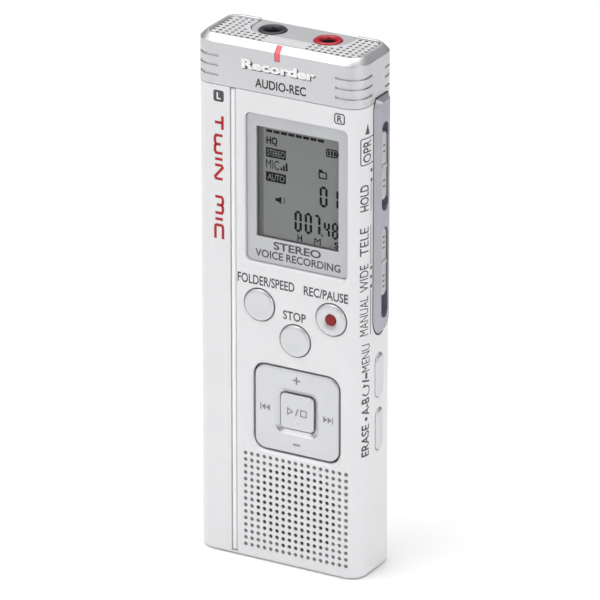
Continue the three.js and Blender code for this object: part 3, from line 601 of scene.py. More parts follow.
def speaker_dots():
    """Dark cloth behind the open dots, and grey discs on the floors of the shallow ones: painted shade in the
    dimples.
    """
    through, shallow = dot_centres()
    cloth = solid("speaker_cloth", dot(0.44), eased(FRONT + 0.3, FRONT + 0.4), centres=through)
    dress(cloth, SPEAKER_CLOTH)
    # The dimple floors are painted shade.
    floors = solid("dimple_painted_shade_floors", dot(0.42), eased(FRONT + 0.2, FRONT + 0.3), centres=shallow)
    dress(floors, DIMPLE_PAINTED_SHADE)


def rear_cover():
    cover = cover_block("rear_cover_shell")
    door_hole = rounded(2 * DOOR_HALF + 0.3, DOOR_LENGTH + 0.3, 0.6, 0, DOOR_Z)
    tools = [
        box("front_half", (-40, -40, -5), (40, PARTING + 0.02, 130)),
        solid("wells", circle(1.75, sides=32), mouth(BACK, BACK - 1.2, 0.15), centres=SCREWS),
        solid("thumb_notch", rounded(9, 5, 2.4, 0, DOOR_HIGH + 0.6), [(BACK + 1, -1.0), (BACK - 0.55, 0.4)]),
        solid("label_bed", rounded(LABEL_WIDTH, LABEL_HEIGHT, 1.2, 0, LABEL_Z), eased(BACK + 1, LABEL_BED)),
        solid("door_hole", door_hole, mouth(BACK, BACK - WALL - 1, 0.12)),
    ]
    carve(cover, *tools, *side_openings())
    dress(cover, WHITE, "rear_cover")


def battery_door():
    """A lid with a grip patch, an arrow, and a round lower edge about its hinge line."""
    outline = rounded(2 * DOOR_HALF, DOOR_LENGTH, 0.5, 0, DOOR_Z)
    door = solid("battery_lid", outline, eased(BACK, BACK - DOOR_THICK, 0.18))
    groove = rounded(11, 0.7, 0.34, sides=6)
    places = [(0.0, RIB_TOP - RIB_PITCH * k) for k in range(RIB_COUNT)]
    grooves = solid("ribs", groove, [(BACK + 1, -0.3), (BACK - 0.25, 0.12)], centres=places)
    arrow = skin("arrow", [[(-2.4, y, 66.4), (2.4, y, 66.4), (0, y, 69.6)] for y in (BACK - 0.2, BACK + 1)])
    reach, hinge_z = DOOR_HALF + 1, DOOR_LOW + HINGE_RADIUS
    edge = box("edge", (-reach, BACK - 3, DOOR_LOW - 1), (reach, BACK + 1, hinge_z))
    barrel = [(HINGE_RADIUS - 0.01, -reach - 1), (HINGE_RADIUS - 0.01, reach + 1)]
    carve(edge, turned("barrel", barrel, "side", BACK - HINGE_RADIUS, hinge_z, 40))
    carve(door, grooves, arrow, edge)
    dress(door, WHITE, "battery_door")


front_cover()
speaker_dots()
rear_cover()
battery_door()


# ---------------- silver cap, grille and sockets
def pipe_section(grow):
    """The light guide from the side, a little larger for the notch that it lies in."""
    low, proud = 112.9 - grow, FRONT - 0.06
    bend = (proud, HEIGHT - CHAMFER - 0.05 + grow)
    return [(proud, low), bend, (FRONT + 1.3, HEIGHT - 0.05 + grow), (FRONT + 1.6, low)]


def top_cap():
    edge = HEIGHT - CHAMFER
    rows = [(SEAM + 0.1, 0.1), (SEAM + 0.2, 0), (edge - 0.12, 0), (edge, 0.05), (HEIGHT - 0.1, CHAMFER - 0.1),
            (HEIGHT, CHAMFER + 0.05)]
    cap = solid("cap_shell", plan(sides=20), rows, "top")
    half = PIPE_HALF + 0.06
    notch = [[(PIPE_X + x, y, z) for y, z in pipe_section(0.08)] for x in (-half, half)]
    reach = PLATE_HALF + 0.1
    tools = [
        solid("hollow", plan(WALL), eased(SEAM - 2, HEIGHT - 2.1), "top"),
        solid("well", plan(2.6), eased(SEAM - 3, HEIGHT + 1), "top"),
        solid("rim", plan(2), [(HEIGHT + 1, -1.12), (HEIGHT - 0.12, 0), (LEDGE, 0)], "top"),
        skin("pipe_notch", notch),
        solid("jack_room", circle(JACK_RING / 2 + 0.2), eased(LEDGE - 3, LEDGE + 0.01), "top", JACKS),
        box("plate_room", (-reach, BACK - 3, LEDGE), (reach, PLATE_BACK + 0.03, HEIGHT + 1)),
        box("open_back", (-reach, BACK - 3, LEDGE + 0.5), (reach, BACK + 1, HEIGHT + 1)),
    ]
    carve(cap, *tools)
    for low in BAND_LOWS:
        bottom, top = low - 1, low + 2
        band = solid("band", plan(-1), eased(low, low + BAND_HEIGHT), "top")
        core = solid("core", plan(sides=20), [(bottom, BAND_DEPTH), (top, BAND_DEPTH)], "top")
        carve(band, core, box("fore_aft", (-BAND_END_X, -30, bottom), (BAND_END_X, 30, top)),
              box("across", (-30, -BAND_END_Y, bottom), (30, BAND_END_Y, top)))
        carve(cap, band)
    dress(cap, CAP_SILVER, "top_cap", crease=25)


def in_plan(x, y, inset):
    dx, dy = max(0.0, abs(x) - (SIDE - CORNER)), max(0.0, abs(y) - (BACK - CORNER))
    return math.hypot(dx, dy) < CORNER - inset


def near_jack_plate(x, y, margin):
    if y > PLATE_FRONT + PLATE_CORNER:
        return abs(x) < PLATE_HALF + margin
    dx = max(0.0, abs(x) - (PLATE_HALF - PLATE_CORNER))
    return math.hypot(dx, PLATE_FRONT + PLATE_CORNER - y) < PLATE_CORNER + margin


def microphone_grille():
    """A plate with two fields of holes, and dark cloth under it and in the holes."""
    centres = []
    for side in (-1, 1):
        for column in range(MIC_COLUMNS):
            for row in range(MIC_ROWS):
                x, y = side * (MIC_START + MIC_PITCH[0] * column), (row - (MIC_ROWS - 1) / 2) * MIC_PITCH[1]
                if in_plan(x, y, MIC_RIM) and not near_jack_plate(x, y, MIC_GAP):
                    centres.append((x, y))
    skin_low, deep = GRILLE_TOP - 0.4, LEDGE - 1
    plate = solid("grille_plate", plan(2.2), eased(GRILLE_TOP, skin_low, 0.2), "top")
    holes = solid("holes", dot(0.43), mouth(GRILLE_TOP, deep, 0.04), "top", centres)
    opening = [(HEIGHT + 1, -1.45), (GRILLE_TOP - 0.3, -0.15), (deep, -0.15)]
    carve(plate, holes, solid("opening", jack_plate_outline, opening, "top"))
    dress(plate, GRILLE_PAINTED_SHADE_WHITE, "mic_grille")
    cloth = solid("grille_cloth", plan(2.15), eased(skin_low - 0.02, LEDGE + 0.05), "top")
    carve(cloth, solid("opening", jack_plate_outline, [(HEIGHT + 1, -0.15), (deep, -0.15)], "top"))
    dress(cloth, CLOTH)
    plugs = solid("grille_mesh", dot(0.41), eased(GRILLE_TOP - 0.14, skin_low), "top", centres)
    dress(plugs, CLOTH)


def jack_plate():
    top = LEDGE + 0.5
    plate = solid("socket_plate", jack_plate_outline, eased(top, LEDGE + 0.05, 0.1), "top")
    carve(plate, solid("rings", circle(JACK_RING / 2 + 0.1), mouth(top, LEDGE - 1, 0.08), "top", JACKS))
    dress(plate, PLATE, "jack_plate")


def jack_rings():
    """A coloured collar round each socket, and a dark tube in it."""
    bore, outer = JACK_HOLE / 2, JACK_RING / 2
    high, low = HEIGHT - 0.3, HEIGHT - 2.2
    profile = [(bore + 0.42, high), (outer - 0.35, high), (outer - 0.12, high - 0.08), (outer, high - 0.3),
               (outer, low), (bore, low), (bore, high - 0.5), (bore + 0.12, high - 0.2)]
    wide, narrow, top, bottom = bore - 0.02, bore - 0.1, high - 0.75, low - 0.1
    tube = [(wide, top), (wide, bottom), (narrow, bottom), (narrow, top)]
    for name, look, place in zip(("phones", "mic"), (DARK_RING, RED_RING), JACKS):
        ring = turned(name + "_socket_collar", profile, "top", *place, 56, loop=True)
        dress(ring, look, name + "_jack_ring", crease=50)
        dress(turned(name + "_socket_liner", tube, "top", *place, 40, loop=True), BLACK)


def shrunk(section, middle, share):
    """A section drawn in towards a middle point."""
    return [(middle[0] + (a - middle[0]) * share, middle[1] + (b - middle[1]) * share) for a, b in section]


def light_pipe():
    """A red pipe that bends over the cap's front edge, a little rounded on every edge."""
    section, middle = pipe_section(0), (FRONT + 0.8, 114.6)
    ends = ((PIPE_HALF, 0.86), (PIPE_HALF - 0.07, 0.95), (PIPE_HALF - 0.25, 1.0))
    steps = [(-x, share) for x, share in ends] + list(ends[::-1])
    rings = [[(PIPE_X + x, y, z) for y, z in shrunk(section, middle, share)] for x, share in steps]
    # Its finish has a faint painted glow.
    dress(skin("light_guide", rings), RED_CLEAR, "record_light_pipe")


top_cap()
microphone_grille()
jack_plate()
jack_rings()
light_pipe()


# ---------------- trim bar
def trim_bar():
    """A polished bar with a round front, let into the groove beside the controls."""
    turns = [math.radians(-angle) for angle in range(0, 181, 15)]
    section = [(-TRIM_RADIUS, 0.8), (TRIM_RADIUS, 0.8)]
    section += [(TRIM_RADIUS * math.cos(turn), 0.65 + TRIM_RADIUS * math.sin(turn)) for turn in turns]
    ends = ((1.2, 0.8), (1.35, 0.95), (1.6, 1.0), (SEAM - 0.6, 1.0), (SEAM - 0.35, 0.95), (SEAM - 0.2, 0.8))
    rings = [[(TRIM_X + x, FRONT + y, z) for x, y in shrunk(section, (0, 0.5), share)] for z, share in ends]
    # A black strip on the groove's floor: painted shade in the gap beside the bar.
    floor = box("groove_floor_painted_shade", (TRIM_X - 0.6, FRONT + 0.82, 1), (TRIM_X + 0.8, FRONT + 0.88, SEAM - 0.1))
    dress(floor, BLACK)
    dress(skin("trim_strip", rings), RAISED, "trim_bar", crease=40)


trim_bar()


# ---------------- display
def display():
    opening = rounded(LCD_WIDTH, LCD_HEIGHT, 0.35, LCD_X, LCD_Z)
    edge = rounded(WINDOW_WIDTH - 0.3, WINDOW_HEIGHT - 0.3, WINDOW_CORNER - 0.15, WINDOW_X, WINDOW_Z)
    border = solid("window_border", edge, eased(WINDOW_FACE, FRONT + 1.35, 0.08))
    carve(border, solid("opening", opening, mouth(WINDOW_FACE, FRONT + 2, 0.1)))
    dress(border, BORDER, "display_window")
    dress(solid("window_pane", opening, [(WINDOW_FACE + 0.14, 0.02), (FRONT + 1.3, 0.02)]), PANE)
    glass = rounded(21.2, 27, 0.3, PANEL + 0.1, WINDOW_Z)
    dress(solid("lcd_plate", glass, eased(LCD_FACE, FRONT + 2.5, 0.05)), LCD_GROUND, "display_glass")


# Distances on the display are across and down from its upper left corner.
def lcd_point(across, down):
    return LCD_X - LCD_WIDTH / 2 + across, LCD_Z + LCD_HEIGHT / 2 - down


def lcd_points(*places):
    return [lcd_point(across, down) for across, down in places]


def lcd_area(left, right, top, bottom):
    (x0, z1), (x1, z0) = lcd_points((left, top), (right, bottom))
    return x0, x1, z0, z1


SEGMENTS = {"0": "abcdef", "1": "bc", "4": "bcfg", "7": "abc", "8": "abcdefg"}
SEGMENT_GAP = 0.08


def segment_digit(marks, digit, left, right, top, bottom, thick):
    """A seven-segment digit, each segment a bar with pointed ends."""
    middle, half, gap = (top + bottom) / 2, thick / 2, SEGMENT_GAP
    l, r, t, b = left + half, right - half, top + half, bottom - half
    bars = {"a": (l, t, r, t), "b": (r, t, r, middle), "c": (r, middle, r, b), "d": (l, b, r, b),
            "e": (l, middle, l, b), "f": (l, t, l, middle), "g": (l, middle, r, middle)}
    for letter in SEGMENTS[digit]:
        a0, d0, a1, d1 = bars[letter]
        if a0 == a1:
            points = [(a0, d0 + gap), (a0 + half, d0 + half), (a0 + half, d1 - half), (a0, d1 - gap),
                      (a0 - half, d1 - half), (a0 - half, d0 + half)]
        else:
            points = [(a0 + gap, d0), (a0 + half, d0 - half), (a1 - half, d0 - half), (a1 - gap, d0),
                      (a1 - half, d0 + half), (a0 + half, d0 + half)]
        marks.polygon(lcd_points(*points))


def display_marks():
    dark = Marks("display_signs", facing_front(LCD_FACE - 0.02))
    areas = [(1.97 + 1.73 * k, 3.42 + 1.73 * k, 0.62, 1.22) for k in range(8)]              # level bars
    areas += [(1.9, 6.6, top, top + 2.1) for top in (4.6, 9.9)]                             # boxed words
    areas += [(5.3 + 0.62 * k, 5.75 + 0.62 * k, 8.5 - 0.6 * k, 9.1) for k in range(3)]      # rising bars
    areas += [(18.7, 19.0, 2.8, 3.6)]
    areas += [(16.4 + 0.72 * k, 16.9 + 0.72 * k, 2.7, 3.7) for k in range(3)]               # cell charge
    areas += [(14.3, 15.2, 7.2, 7.66)]
    for area in areas:
        dark.rect(*lcd_area(*area))
    dark.frame(rounded(2.7, 1.8, 0.35, *lcd_point(17.35, 3.2), sides=4), 0.28)
    dark.frame(rounded(2.0, 1.6, 0.2, *lcd_point(15.25, 8.4), sides=3), 0.3)
    dark.polygon(lcd_points((4.1, 15.4), (4.7, 15.4), (5.5, 14.9), (5.5, 16.6), (4.7, 16.1), (4.1, 16.1)))
    dark.arc(*lcd_point(5.4, 15.75), 0.95, 0.18, -50, 50, 8)
    for digits, top, bottom, thick in (
            ((("0", 14.5, 16.4), ("1", 17.2, 19.0)), 10.8, 15.4, 0.58),
            ((("0", 8.6, 10.35), ("0", 11.0, 12.75), ("7", 13.1, 14.75)), 17.3, 22.0, 0.58),
            ((("4", 15.5, 16.95), ("8", 17.4, 18.95)), 18.3, 22.0, 0.5)):
        for digit, left, right in digits:
            segment_digit(dark, digit, left, right, top, bottom, thick)
    dark.disc(*lcd_point(15.1, 21.7), 0.22, 12)
    dark.texts(("HQ", *lcd_area(2.0, 4.6, 2.1, 4.1), 0.04), ("MIC", *lcd_area(1.9, 5.0, 7.2, 9.2), 0.0),
               ("H", *lcd_area(9.3, 10.4, 22.5, 24.0), 0.03), ("M", *lcd_area(13.3, 14.8, 22.5, 24.0), 0.0),
               ("S", *lcd_area(18.0, 18.95, 22.5, 24.0), 0.03))
    dress(dark.piece(), LCD_DARK)
    printed("display_inverse_signs", LCD_GROUND, facing_front(LCD_FACE), 0.035,
            ("STEREO", *lcd_area(2.2, 6.3, 4.95, 6.35), 0.0),
            ("AUTO", *lcd_area(2.3, 6.2, 10.25, 11.65), 0.0))
    # Dark bands along the left and bottom edges of the display: painted shadow.
    edge = Marks("display_painted_shadows", facing_front(LCD_FACE - 0.01))
    edge.rect(*lcd_area(0, 1.3, 0, LCD_HEIGHT))
    edge.rect(*lcd_area(1.3, LCD_WIDTH, LCD_HEIGHT - 0.25, LCD_HEIGHT))
    dress(edge.piece(), LCD_PAINTED_SHADOW)


display()
display_marks()


# ---------------- front keys
def round_keys():
    """Three keys, slightly dished, each over a dark ring in the gap round it: painted shade in the gap."""
    front = FRONT - KEY_PROUD
    rim = [(KEY_RADIUS - 0.42, front), (KEY_RADIUS - 0.2, front + 0.05), (KEY_RADIUS - 0.06, front + 0.2),
           (KEY_RADIUS, front + 0.42), (KEY_RADIUS, INSIDE + 0.1), (KEY_RADIUS + 0.5, INSIDE + 0.1),
           (KEY_RADIUS + 0.5, INSIDE + 0.4), (1, INSIDE + 0.4), (1, FRONT + 2.2)]
    # A black ring just under the face, in the gap round each key: painted shade.
    near, far, top, bottom = KEY_RADIUS + 0.04, KEY_RADIUS + 0.19, FRONT + 0.14, FRONT + 0.4
    gap = [(near, top), (far, top), (far, bottom), (near, bottom)]
    for name, (x, z) in KEYS.items():
        middle = [(0.4, front + 0.1), (1.6, front + 0.08), (2.4, front + 0.03)]
        if name == "record":
            middle = [(1.3, front + 0.38), (1.32, front + 0.16), (1.42, front + 0.08), (2.4, front + 0.03)]
        key = turned(name + "_key_cap", middle + rim, "front", x, z, 64)
        dress(key, KEY_SILVER, name + "_button", crease=50)
        dress(turned(name + "_key_gap_painted_shade", gap, "front", x, z, 64, loop=True), BLACK)
    dome = [(0.1, front - 0.03), (0.6, front - 0.02), (1.0, front + 0.02), (1.2, front + 0.12),
            (1.25, front + 0.25), (1.25, FRONT - 0.03)]
    dress(turned("record_dot_dome", dome, "front", *KEYS["record"], 40), RED, "record_dot", crease=50)


round_keys()


# ---------------- direction pad and middle key
def direction_pad():
    back, hole_side, dish_side = FRONT + 1.5, PLAY_SIDE + 0.6, PLAY_SIDE + 2.5
    outline = rounded(PAD_WIDTH, PAD_HEIGHT, PAD_CORNER, PANEL, PAD_Z)
    pad = solid("direction_pad", outline, eased(PAD_FACE, back, 0.45))
    hole = solid("hole", rounded(hole_side, hole_side, 1.2, PANEL, PAD_Z), eased(PAD_FACE - 1, back + 1))
    dish_rows = [(PAD_FACE - 1, -1.45), (PAD_FACE, 0), (PAD_FACE + 0.08, 0.1), (PAD_FACE + 0.62, 0.93)]
    carve(pad, hole, solid("dish", rounded(dish_side, dish_side, 2.1, PANEL, PAD_Z), dish_rows))
    reach = 7.4
    places = [(PANEL + dx, PAD_Z + dz) for dx, dz in ((reach, 0), (-reach, 0), (0, reach), (0, -reach))]
    posts = solid("posts", circle(0.7, sides=12), eased(back - 0.1, FRONT + 2.33), centres=places)
    carve(pad, posts, operation="UNION")
    dress(pad, KEY_SILVER, "nav_ring")


def pad_icons_painted_shade():
    """A plus above, a minus below, and skip signs on the left and the right: flat grey marks whose grey is
    painted shade of engraved signs.
    """
    icons = Marks("pad_icons_painted_shade", facing_front(PAD_FACE - PRINT))
    half, thin, plus_z, minus_z = 0.85, 0.2, 42.75, 28.15
    for z in (plus_z, minus_z):
        icons.rect(PANEL - half, PANEL + half, z - thin, z + thin)
    icons.rect(PANEL - thin, PANEL + thin, plus_z + thin, plus_z + half)
    icons.rect(PANEL - thin, PANEL + thin, plus_z - half, plus_z - thin)
    tall, long = 0.75, 0.95
    for sign in (-1, 1):
        x = PANEL + sign * 7.3
        for start in (-0.95, 0.1):
            tip = ((start, -tall), (start + long, 0), (start, tall))
            icons.polygon([(x + sign * a, PAD_Z + b) for a, b in tip])
        icons.rect(*sorted((x + sign * 1.1, x + sign * 1.35)), PAD_Z - tall, PAD_Z + tall)
    dress(icons.piece(), ICON_GREY, body="nav_rocker")


def middle_key():
    flange = FRONT + 1.82
    outline = rounded(PLAY_SIDE, PLAY_SIDE, 0.95, PANEL, PAD_Z)
    key = solid("middle_key", outline, eased(PLAY_FACE, flange + 0.1, 0.3))
    collar = solid("collar", rounded(8.8, 8.8, 1, PANEL, PAD_Z), eased(flange, flange + 0.2))
    post = solid("post", circle(1.2, PANEL, PAD_Z, 16), eased(flange + 0.1, FRONT + 2.2))
    pip = [(0.12, PLAY_FACE - 0.13), (0.3, PLAY_FACE - 0.08), (0.38, PLAY_FACE + 0.1)]
    carve(key, collar, post, turned("pip", pip, "front", PANEL + 0.2, PAD_Z - 2.5, 20), operation="UNION")
    dress(key, KEY_SILVER, "play_button")
    # The key's signs are flat grey marks: painted shade of engraved signs.
    icon = Marks("middle_key_icon_painted_shade", facing_front(PLAY_FACE - PRINT))
    tip, left, low, high = (PANEL - 1.0, PAD_Z + 0.1), PANEL - 2.15, PAD_Z - 0.62, PAD_Z + 0.82
    icon.stroke([tip, (left, low), (left, high), tip], 0.26)
    low, high = PAD_Z - 0.75, PAD_Z + 0.95
    icon.polygon([(PANEL - 0.42, low), (PANEL - 0.12, low), (PANEL + 0.42, high), (PANEL + 0.12, high)])
    icon.frame(rounded(1.6, 1.6, 0.15, PANEL + 1.6, PAD_Z + 0.1, 3), 0.26)
    dress(icon.piece(), ICON_GREY, body="play_key")


direction_pad()
pad_icons_painted_shade()
middle_key()


# ---------------- right side
def side_bezel():
    """A bevelled frame round the two slides, with a dark rim under it and dark floors in its slots, both
    painted shade.
    """
    def end(half, middle, drop):
        turns = [math.radians(12 * step) for step in range(16)]
        return [(PARTING + half * math.cos(turn), middle - drop * math.sin(turn)) for turn in turns]

    foot = [(PARTING - 3, 104.2), (PARTING - 2.1, 106.1), (PARTING + 3, 106.1)] + end(3, 57.8, 4.1)
    face = [(PARTING - 1.9, 104), (PARTING - 1.3, 105.4), (PARTING + 1.9, 105.4)] + end(1.9, 58.2, 3.0)
    reach = BEZEL - SIDE - 0.05
    rings = [[(SIDE + 0.05 + reach * rise, *(Vector(a).lerp(Vector(b), share))) for a, b in zip(foot, face)]
             for share, rise in ((0, 0), (0.86, 0.86), (0.93, 0.94), (1.0, 0.985), (1.1, 1.0))]
    bezel = skin("bezel_shell", rings)
    centre = Vector((PARTING, 80))
    # A dark rim round the bezel's foot, a little wider than it: painted shadow in the gap between bezel and
    # body.
    spread = [tuple(Vector(point) + (Vector(point) - centre).normalized() * 0.3) for point in foot]
    painted_shadow_rim = skin("bezel_painted_shadow_rim", [[(x, y, z) for y, z in spread] for x in (SIDE - 0.3, SIDE + 0.12)])
    deep = SIDE - 1
    for name, (middle, length) in SLIDE_SLOTS.items():
        carve(bezel,
              solid("slot", pill(SLOT_WIDTH, length, middle), mouth(BEZEL, SIDE + 0.12, 0.1), "side"),
              solid("neck", pill(NECK_WIDTH, length, middle), eased(BEZEL + 1, deep), "side"))
        carve(painted_shadow_rim, solid("slot", pill(SLOT_WIDTH + 0.1, length, middle), eased(BEZEL, deep), "side"))
        # A dark sheet on each slot's floor: painted shade in the slot.
        floor = solid(name + "_slot_floor_painted_shade", pill(SLOT_WIDTH - 0.06, length - 0.06, middle),
                      eased(SIDE + 0.125, SIDE + 0.14), "side")
        carve(floor, solid("neck", pill(NECK_WIDTH, length - 1, middle), eased(BEZEL, deep), "side"))
        dress(floor, PURPLE_PAINTED_SHADE)
    carve(painted_shadow_rim, box("inside", (deep, -1.6, 54), (SIDE + 0.02, BACK, 110)))
    dress(bezel, PURPLE, "side_bezel", crease=28)
    dress(painted_shadow_rim, RUBBER_AND_PAINTED_SHADOW)


def slide_knob(name):
    """A long oval cap with a ridge across its middle and fine grip lines on each side of it."""
    middle, distances = SLIDE_KNOBS[name]
    face = BEZEL - 0.35
    outline = pill(KNOB_WIDTH, KNOB_LENGTH, middle)
    knob = solid(name + "_knob_cap", outline, eased(SIDE + 0.15, face, 0.05, 0.3), "side")
    rings = []
    for x, inset in ((face - 0.1, 0), (face + 0.18, 0), (face + 0.3, 0.16)):
        half, tall = 0.95 - inset, 0.42 - inset
        corners = ((-half, -tall), (half, -tall), (half, tall), (-half, tall))
        rings.append([(x, PARTING + across, middle + up) for across, up in corners])
    neck = box("neck", (SIDE - 1.55, PARTING - 0.6, middle - 1.5), (SIDE + 0.2, PARTING + 0.6, middle + 1.5))
    carve(knob, skin("ridge", rings), neck, operation="UNION")
    dress(knob, KNOB, name + "_knob")
    lines = Marks(name + "_knob_cap_lines", lambda y, z, height: (face + 0.012, y, z))
    for distance in distances:
        for z in (middle - distance, middle + distance):
            lines.rect(PARTING - 0.42, PARTING + 0.42, z - 0.2, z + 0.2)
    dress(lines.piece(), GRIP_GREY, body=name + "_slider")


def side_key(name):
    middle, length, width = SIDE_KEYS[name]
    dome = [(SIDE + 0.4, 0.75), (SIDE + 0.36, 0.45), (SIDE + 0.26, 0.2), (SIDE + 0.1, 0.05), (SIDE - 0.05, 0),
            (SIDE - WALL - 0.2, 0)]
    key = solid(name + "_key_cap", pill(width, length, middle), dome, "side")
    flange_outline = pill(width + 0.8, length + 0.8, middle)
    flange = solid("flange", flange_outline, eased(SIDE - 1.5, SIDE - 1.85), "side")
    post = solid("post", circle(0.9, PARTING, middle, 16), eased(SIDE - 1.75, SIDE - 2.25), "side")
    carve(key, flange, post, operation="UNION")
    dress(key, KEY_SILVER, name + "_button")


side_bezel()
for name in SLIDE_KNOBS:
    slide_knob(name)
for name in SIDE_KEYS:
    side_key(name)


# ---------------- screws, socket tongue and cells
def screws():
    tip, head = PARTING - 4, BACK - 1.9
    profile = [(0.05, tip), (0.6, tip + 0.5), (0.7, tip + 0.9), (0.7, head), (1.5, head), (1.5, head + 0.45),
               (1.35, head + 0.7), (0.9, head + 0.86), (0.05, head + 0.9)]
    long, thin = 0.85, 0.16
    for index, (x, z) in enumerate(SCREWS):
        screw = turned("case_screw_%d" % (index + 1), profile, "front", x, z, 28)
        for w, h in ((long, thin), (thin, long)):
            carve(screw, box("cross", (x - w, head + 0.4, z - h), (x + w, head + 2, z + h)))
        dress(screw, STEEL, "screw_%d" % (index + 1))


def usb_tongue():
    (y0, z0), (y1, z1) = USB_LOW, USB_HIGH
    outline = rounded(0.9, z1 - z0 - 2, 0.15, (y0 + y1) / 2, (z0 + z1) / 2, 4)
    dress(solid("usb_tongue", outline, eased(-SIDE + 1.6, -SIDE + 6.5, 0.15), "side"), BLACK)


def cell(node):
    """A sleeved cell with a copper-coloured band and a steel nub at its positive end."""
    x, low, toward = CELLS[node]
    start = low if toward > 0 else low + CELL_LENGTH
    shoulder = CELL_LENGTH - NUB_LENGTH
    rim = CELL_RADIUS - 0.12

    def profile(*points):
        """(radius, distance from the flat end) points as a profile for turned()."""
        return [(radius, start + toward * distance) for radius, distance in points]

    edge, floor = CELL_RADIUS - 0.5, shoulder - 0.1
    body = profile((0.1, 0), (edge, 0), (rim, 0.06), (CELL_RADIUS, 0.3), (CELL_RADIUS, shoulder - 0.3),
                   (rim, shoulder - 0.06), (edge, shoulder), (2.3, shoulder), (2.2, floor), (0.1, floor))
    nub = profile((0.1, shoulder - 0.2), (2.0, shoulder - 0.2), (2.0, CELL_LENGTH - 0.2), (1.8, CELL_LENGTH),
                  (0.1, CELL_LENGTH))
    outer, inner, near, far = CELL_RADIUS + 0.01, CELL_RADIUS - 0.1, shoulder - 9, shoulder - 0.35
    band = profile((outer, near), (outer, far), (inner, far), (inner, near))
    dress(turned(node + "_sleeve", body, "top", x, CELL_Y, 56), SLEEVE, node)
    dress(turned(node + "_nub", nub, "top", x, CELL_Y, 32), STEEL)
    dress(turned(node + "_band", band, "top", x, CELL_Y, 56, loop=True), COPPER)

    def round_cell(across, z, height):
        turn, reach = across / CELL_RADIUS, CELL_RADIUS + height
        return x - reach * math.sin(turn), CELL_Y + reach * math.cos(turn), z

    words = Marks(node + "_print", round_cell, bend=(-3, 3, 0.25), height=2 * PRINT)
    middle = low + CELL_LENGTH / 2
    words.texts(("AAA", -1.9, 1.9, middle - 11, middle + 1, 0.02),
                ("1.5 V", -1.0, 1.0, middle + 3, middle + 9, 0.01), upward=True)
    sign, half, thin = start + toward * (shoulder - 3), 1.2, 0.25
    words.rect(-half, half, sign - thin, sign + thin)
    words.rect(-thin, thin, sign + thin, sign + half)
    words.rect(-thin, thin, sign - half, sign - thin)
    dress(words.piece(), WHITE_INK)


screws()
usb_tongue()
for name in CELLS:
    cell(name)


# ---------------- printed legends
# Red capitals drawn as strokes in a cell one wide and one tall.
LETTERS = {
    "T": [[(0, 1), (1, 1)], [(0.5, 0.9), (0.5, 0)]],
    "W": [[(0, 1), (0, 0.15), (0.12, 0), (0.38, 0), (0.5, 0.15), (0.5, 0.75)],
          [(0.5, 0.15), (0.62, 0), (0.88, 0), (1, 0.15), (1, 1)]],
    "I": [[(0, 0), (0, 1)]],
    "N": [[(0, 0), (0, 0.85), (0.15, 1), (0.85, 0), (1, 0.15), (1, 1)]],
    "M": [[(0, 0), (0, 0.85), (0.12, 1), (0.38, 1), (0.5, 0.85), (0.5, 0.2)],
          [(0.5, 0.85), (0.62, 1), (0.88, 1), (1, 0.85), (1, 0)]],
    "C": [[(1, 1), (0.18, 1), (0.05, 0.95), (0, 0.8), (0, 0.2), (0.05, 0.05), (0.18, 0), (1, 0)]],
}
LETTER_LENGTHS = {"I": 0.0, " ": 1.3, "M": 3.6, "W": 3.9}               # the others are 3 mm


def red_letters():
    """A line that reads downward beside the trim bar."""
    thickness, gap = 0.62, 1.35
    left, height = -14.55, 1.8
    red = Marks("red_print", on_front, height=PRINT)
    place = 98.6
    for letter in "TWIN MIC":
        length = LETTER_LENGTHS.get(letter, 3.0)
        for path in LETTERS.get(letter, []):
            red.stroke([(left + up * height, place - along * length) for along, up in path], thickness)
        place -= length + gap
    dress(red.piece(), RED_INK)


def front_print():
    printed("front_print", INK, on_front, PRINT, ("FOLDER/SPEED", -9.3, 4.2, 62.75, 64.9, 0.018),
            ("REC/PAUSE", 6.4, 16.8, 62.65, 64.75, 0.018), ("STOP", 1.5, 6.9, 56.35, 58.35, 0.018))
    badge = Marks("channel_badges", on_front, height=PRINT)
    badge.polygon(rounded(2.45, 2.5, 0.5, -13.62, 102.95, 6)())
    badge.frame(rounded(2.5, 2.4, 0.6, 14.72, 103.05, 6), 0.28)
    badge.texts(("R", 14.15, 15.35, 102.3, 103.8, 0.03))
    dress(badge.piece(), INK)
    printed("left_badge_letter", WHITE_INK, on_front, 2 * PRINT, ("L", -14.1, -13.15, 102.2, 103.7, 0.04))
    printed("window_print", INK, facing_front(WINDOW_FACE), PRINT,
            ("STEREO", -1.2, 10.0, 71.05, 72.85, 0.025), ("VOICE RECORDING", -5.5, 14.6, 68.85, 70.6, 0.02))


def cap_print():
    """A raised word with a painted shadow behind it (a dark copy, shifted right and down), and a printed line
    under it.
    """
    printed("cap_word", RAISED, on_front, 0.16, ("Recorder", -8.1, 9.0, 110.15, 112.2, 0.045), crease=50,
            raised=True)
    # A dark copy of the word behind the raised letters: painted shadow.
    printed("cap_word_painted_shadow", INK, on_front, 0.008, ("Recorder", -7.95, 9.3, 109.92, 112.08, 0.075))
    printed("cap_print", CAP_INK, on_front, PRINT, ("AUDIO-REC", -5.0, 6.9, 106.45, 108.45, 0.02))


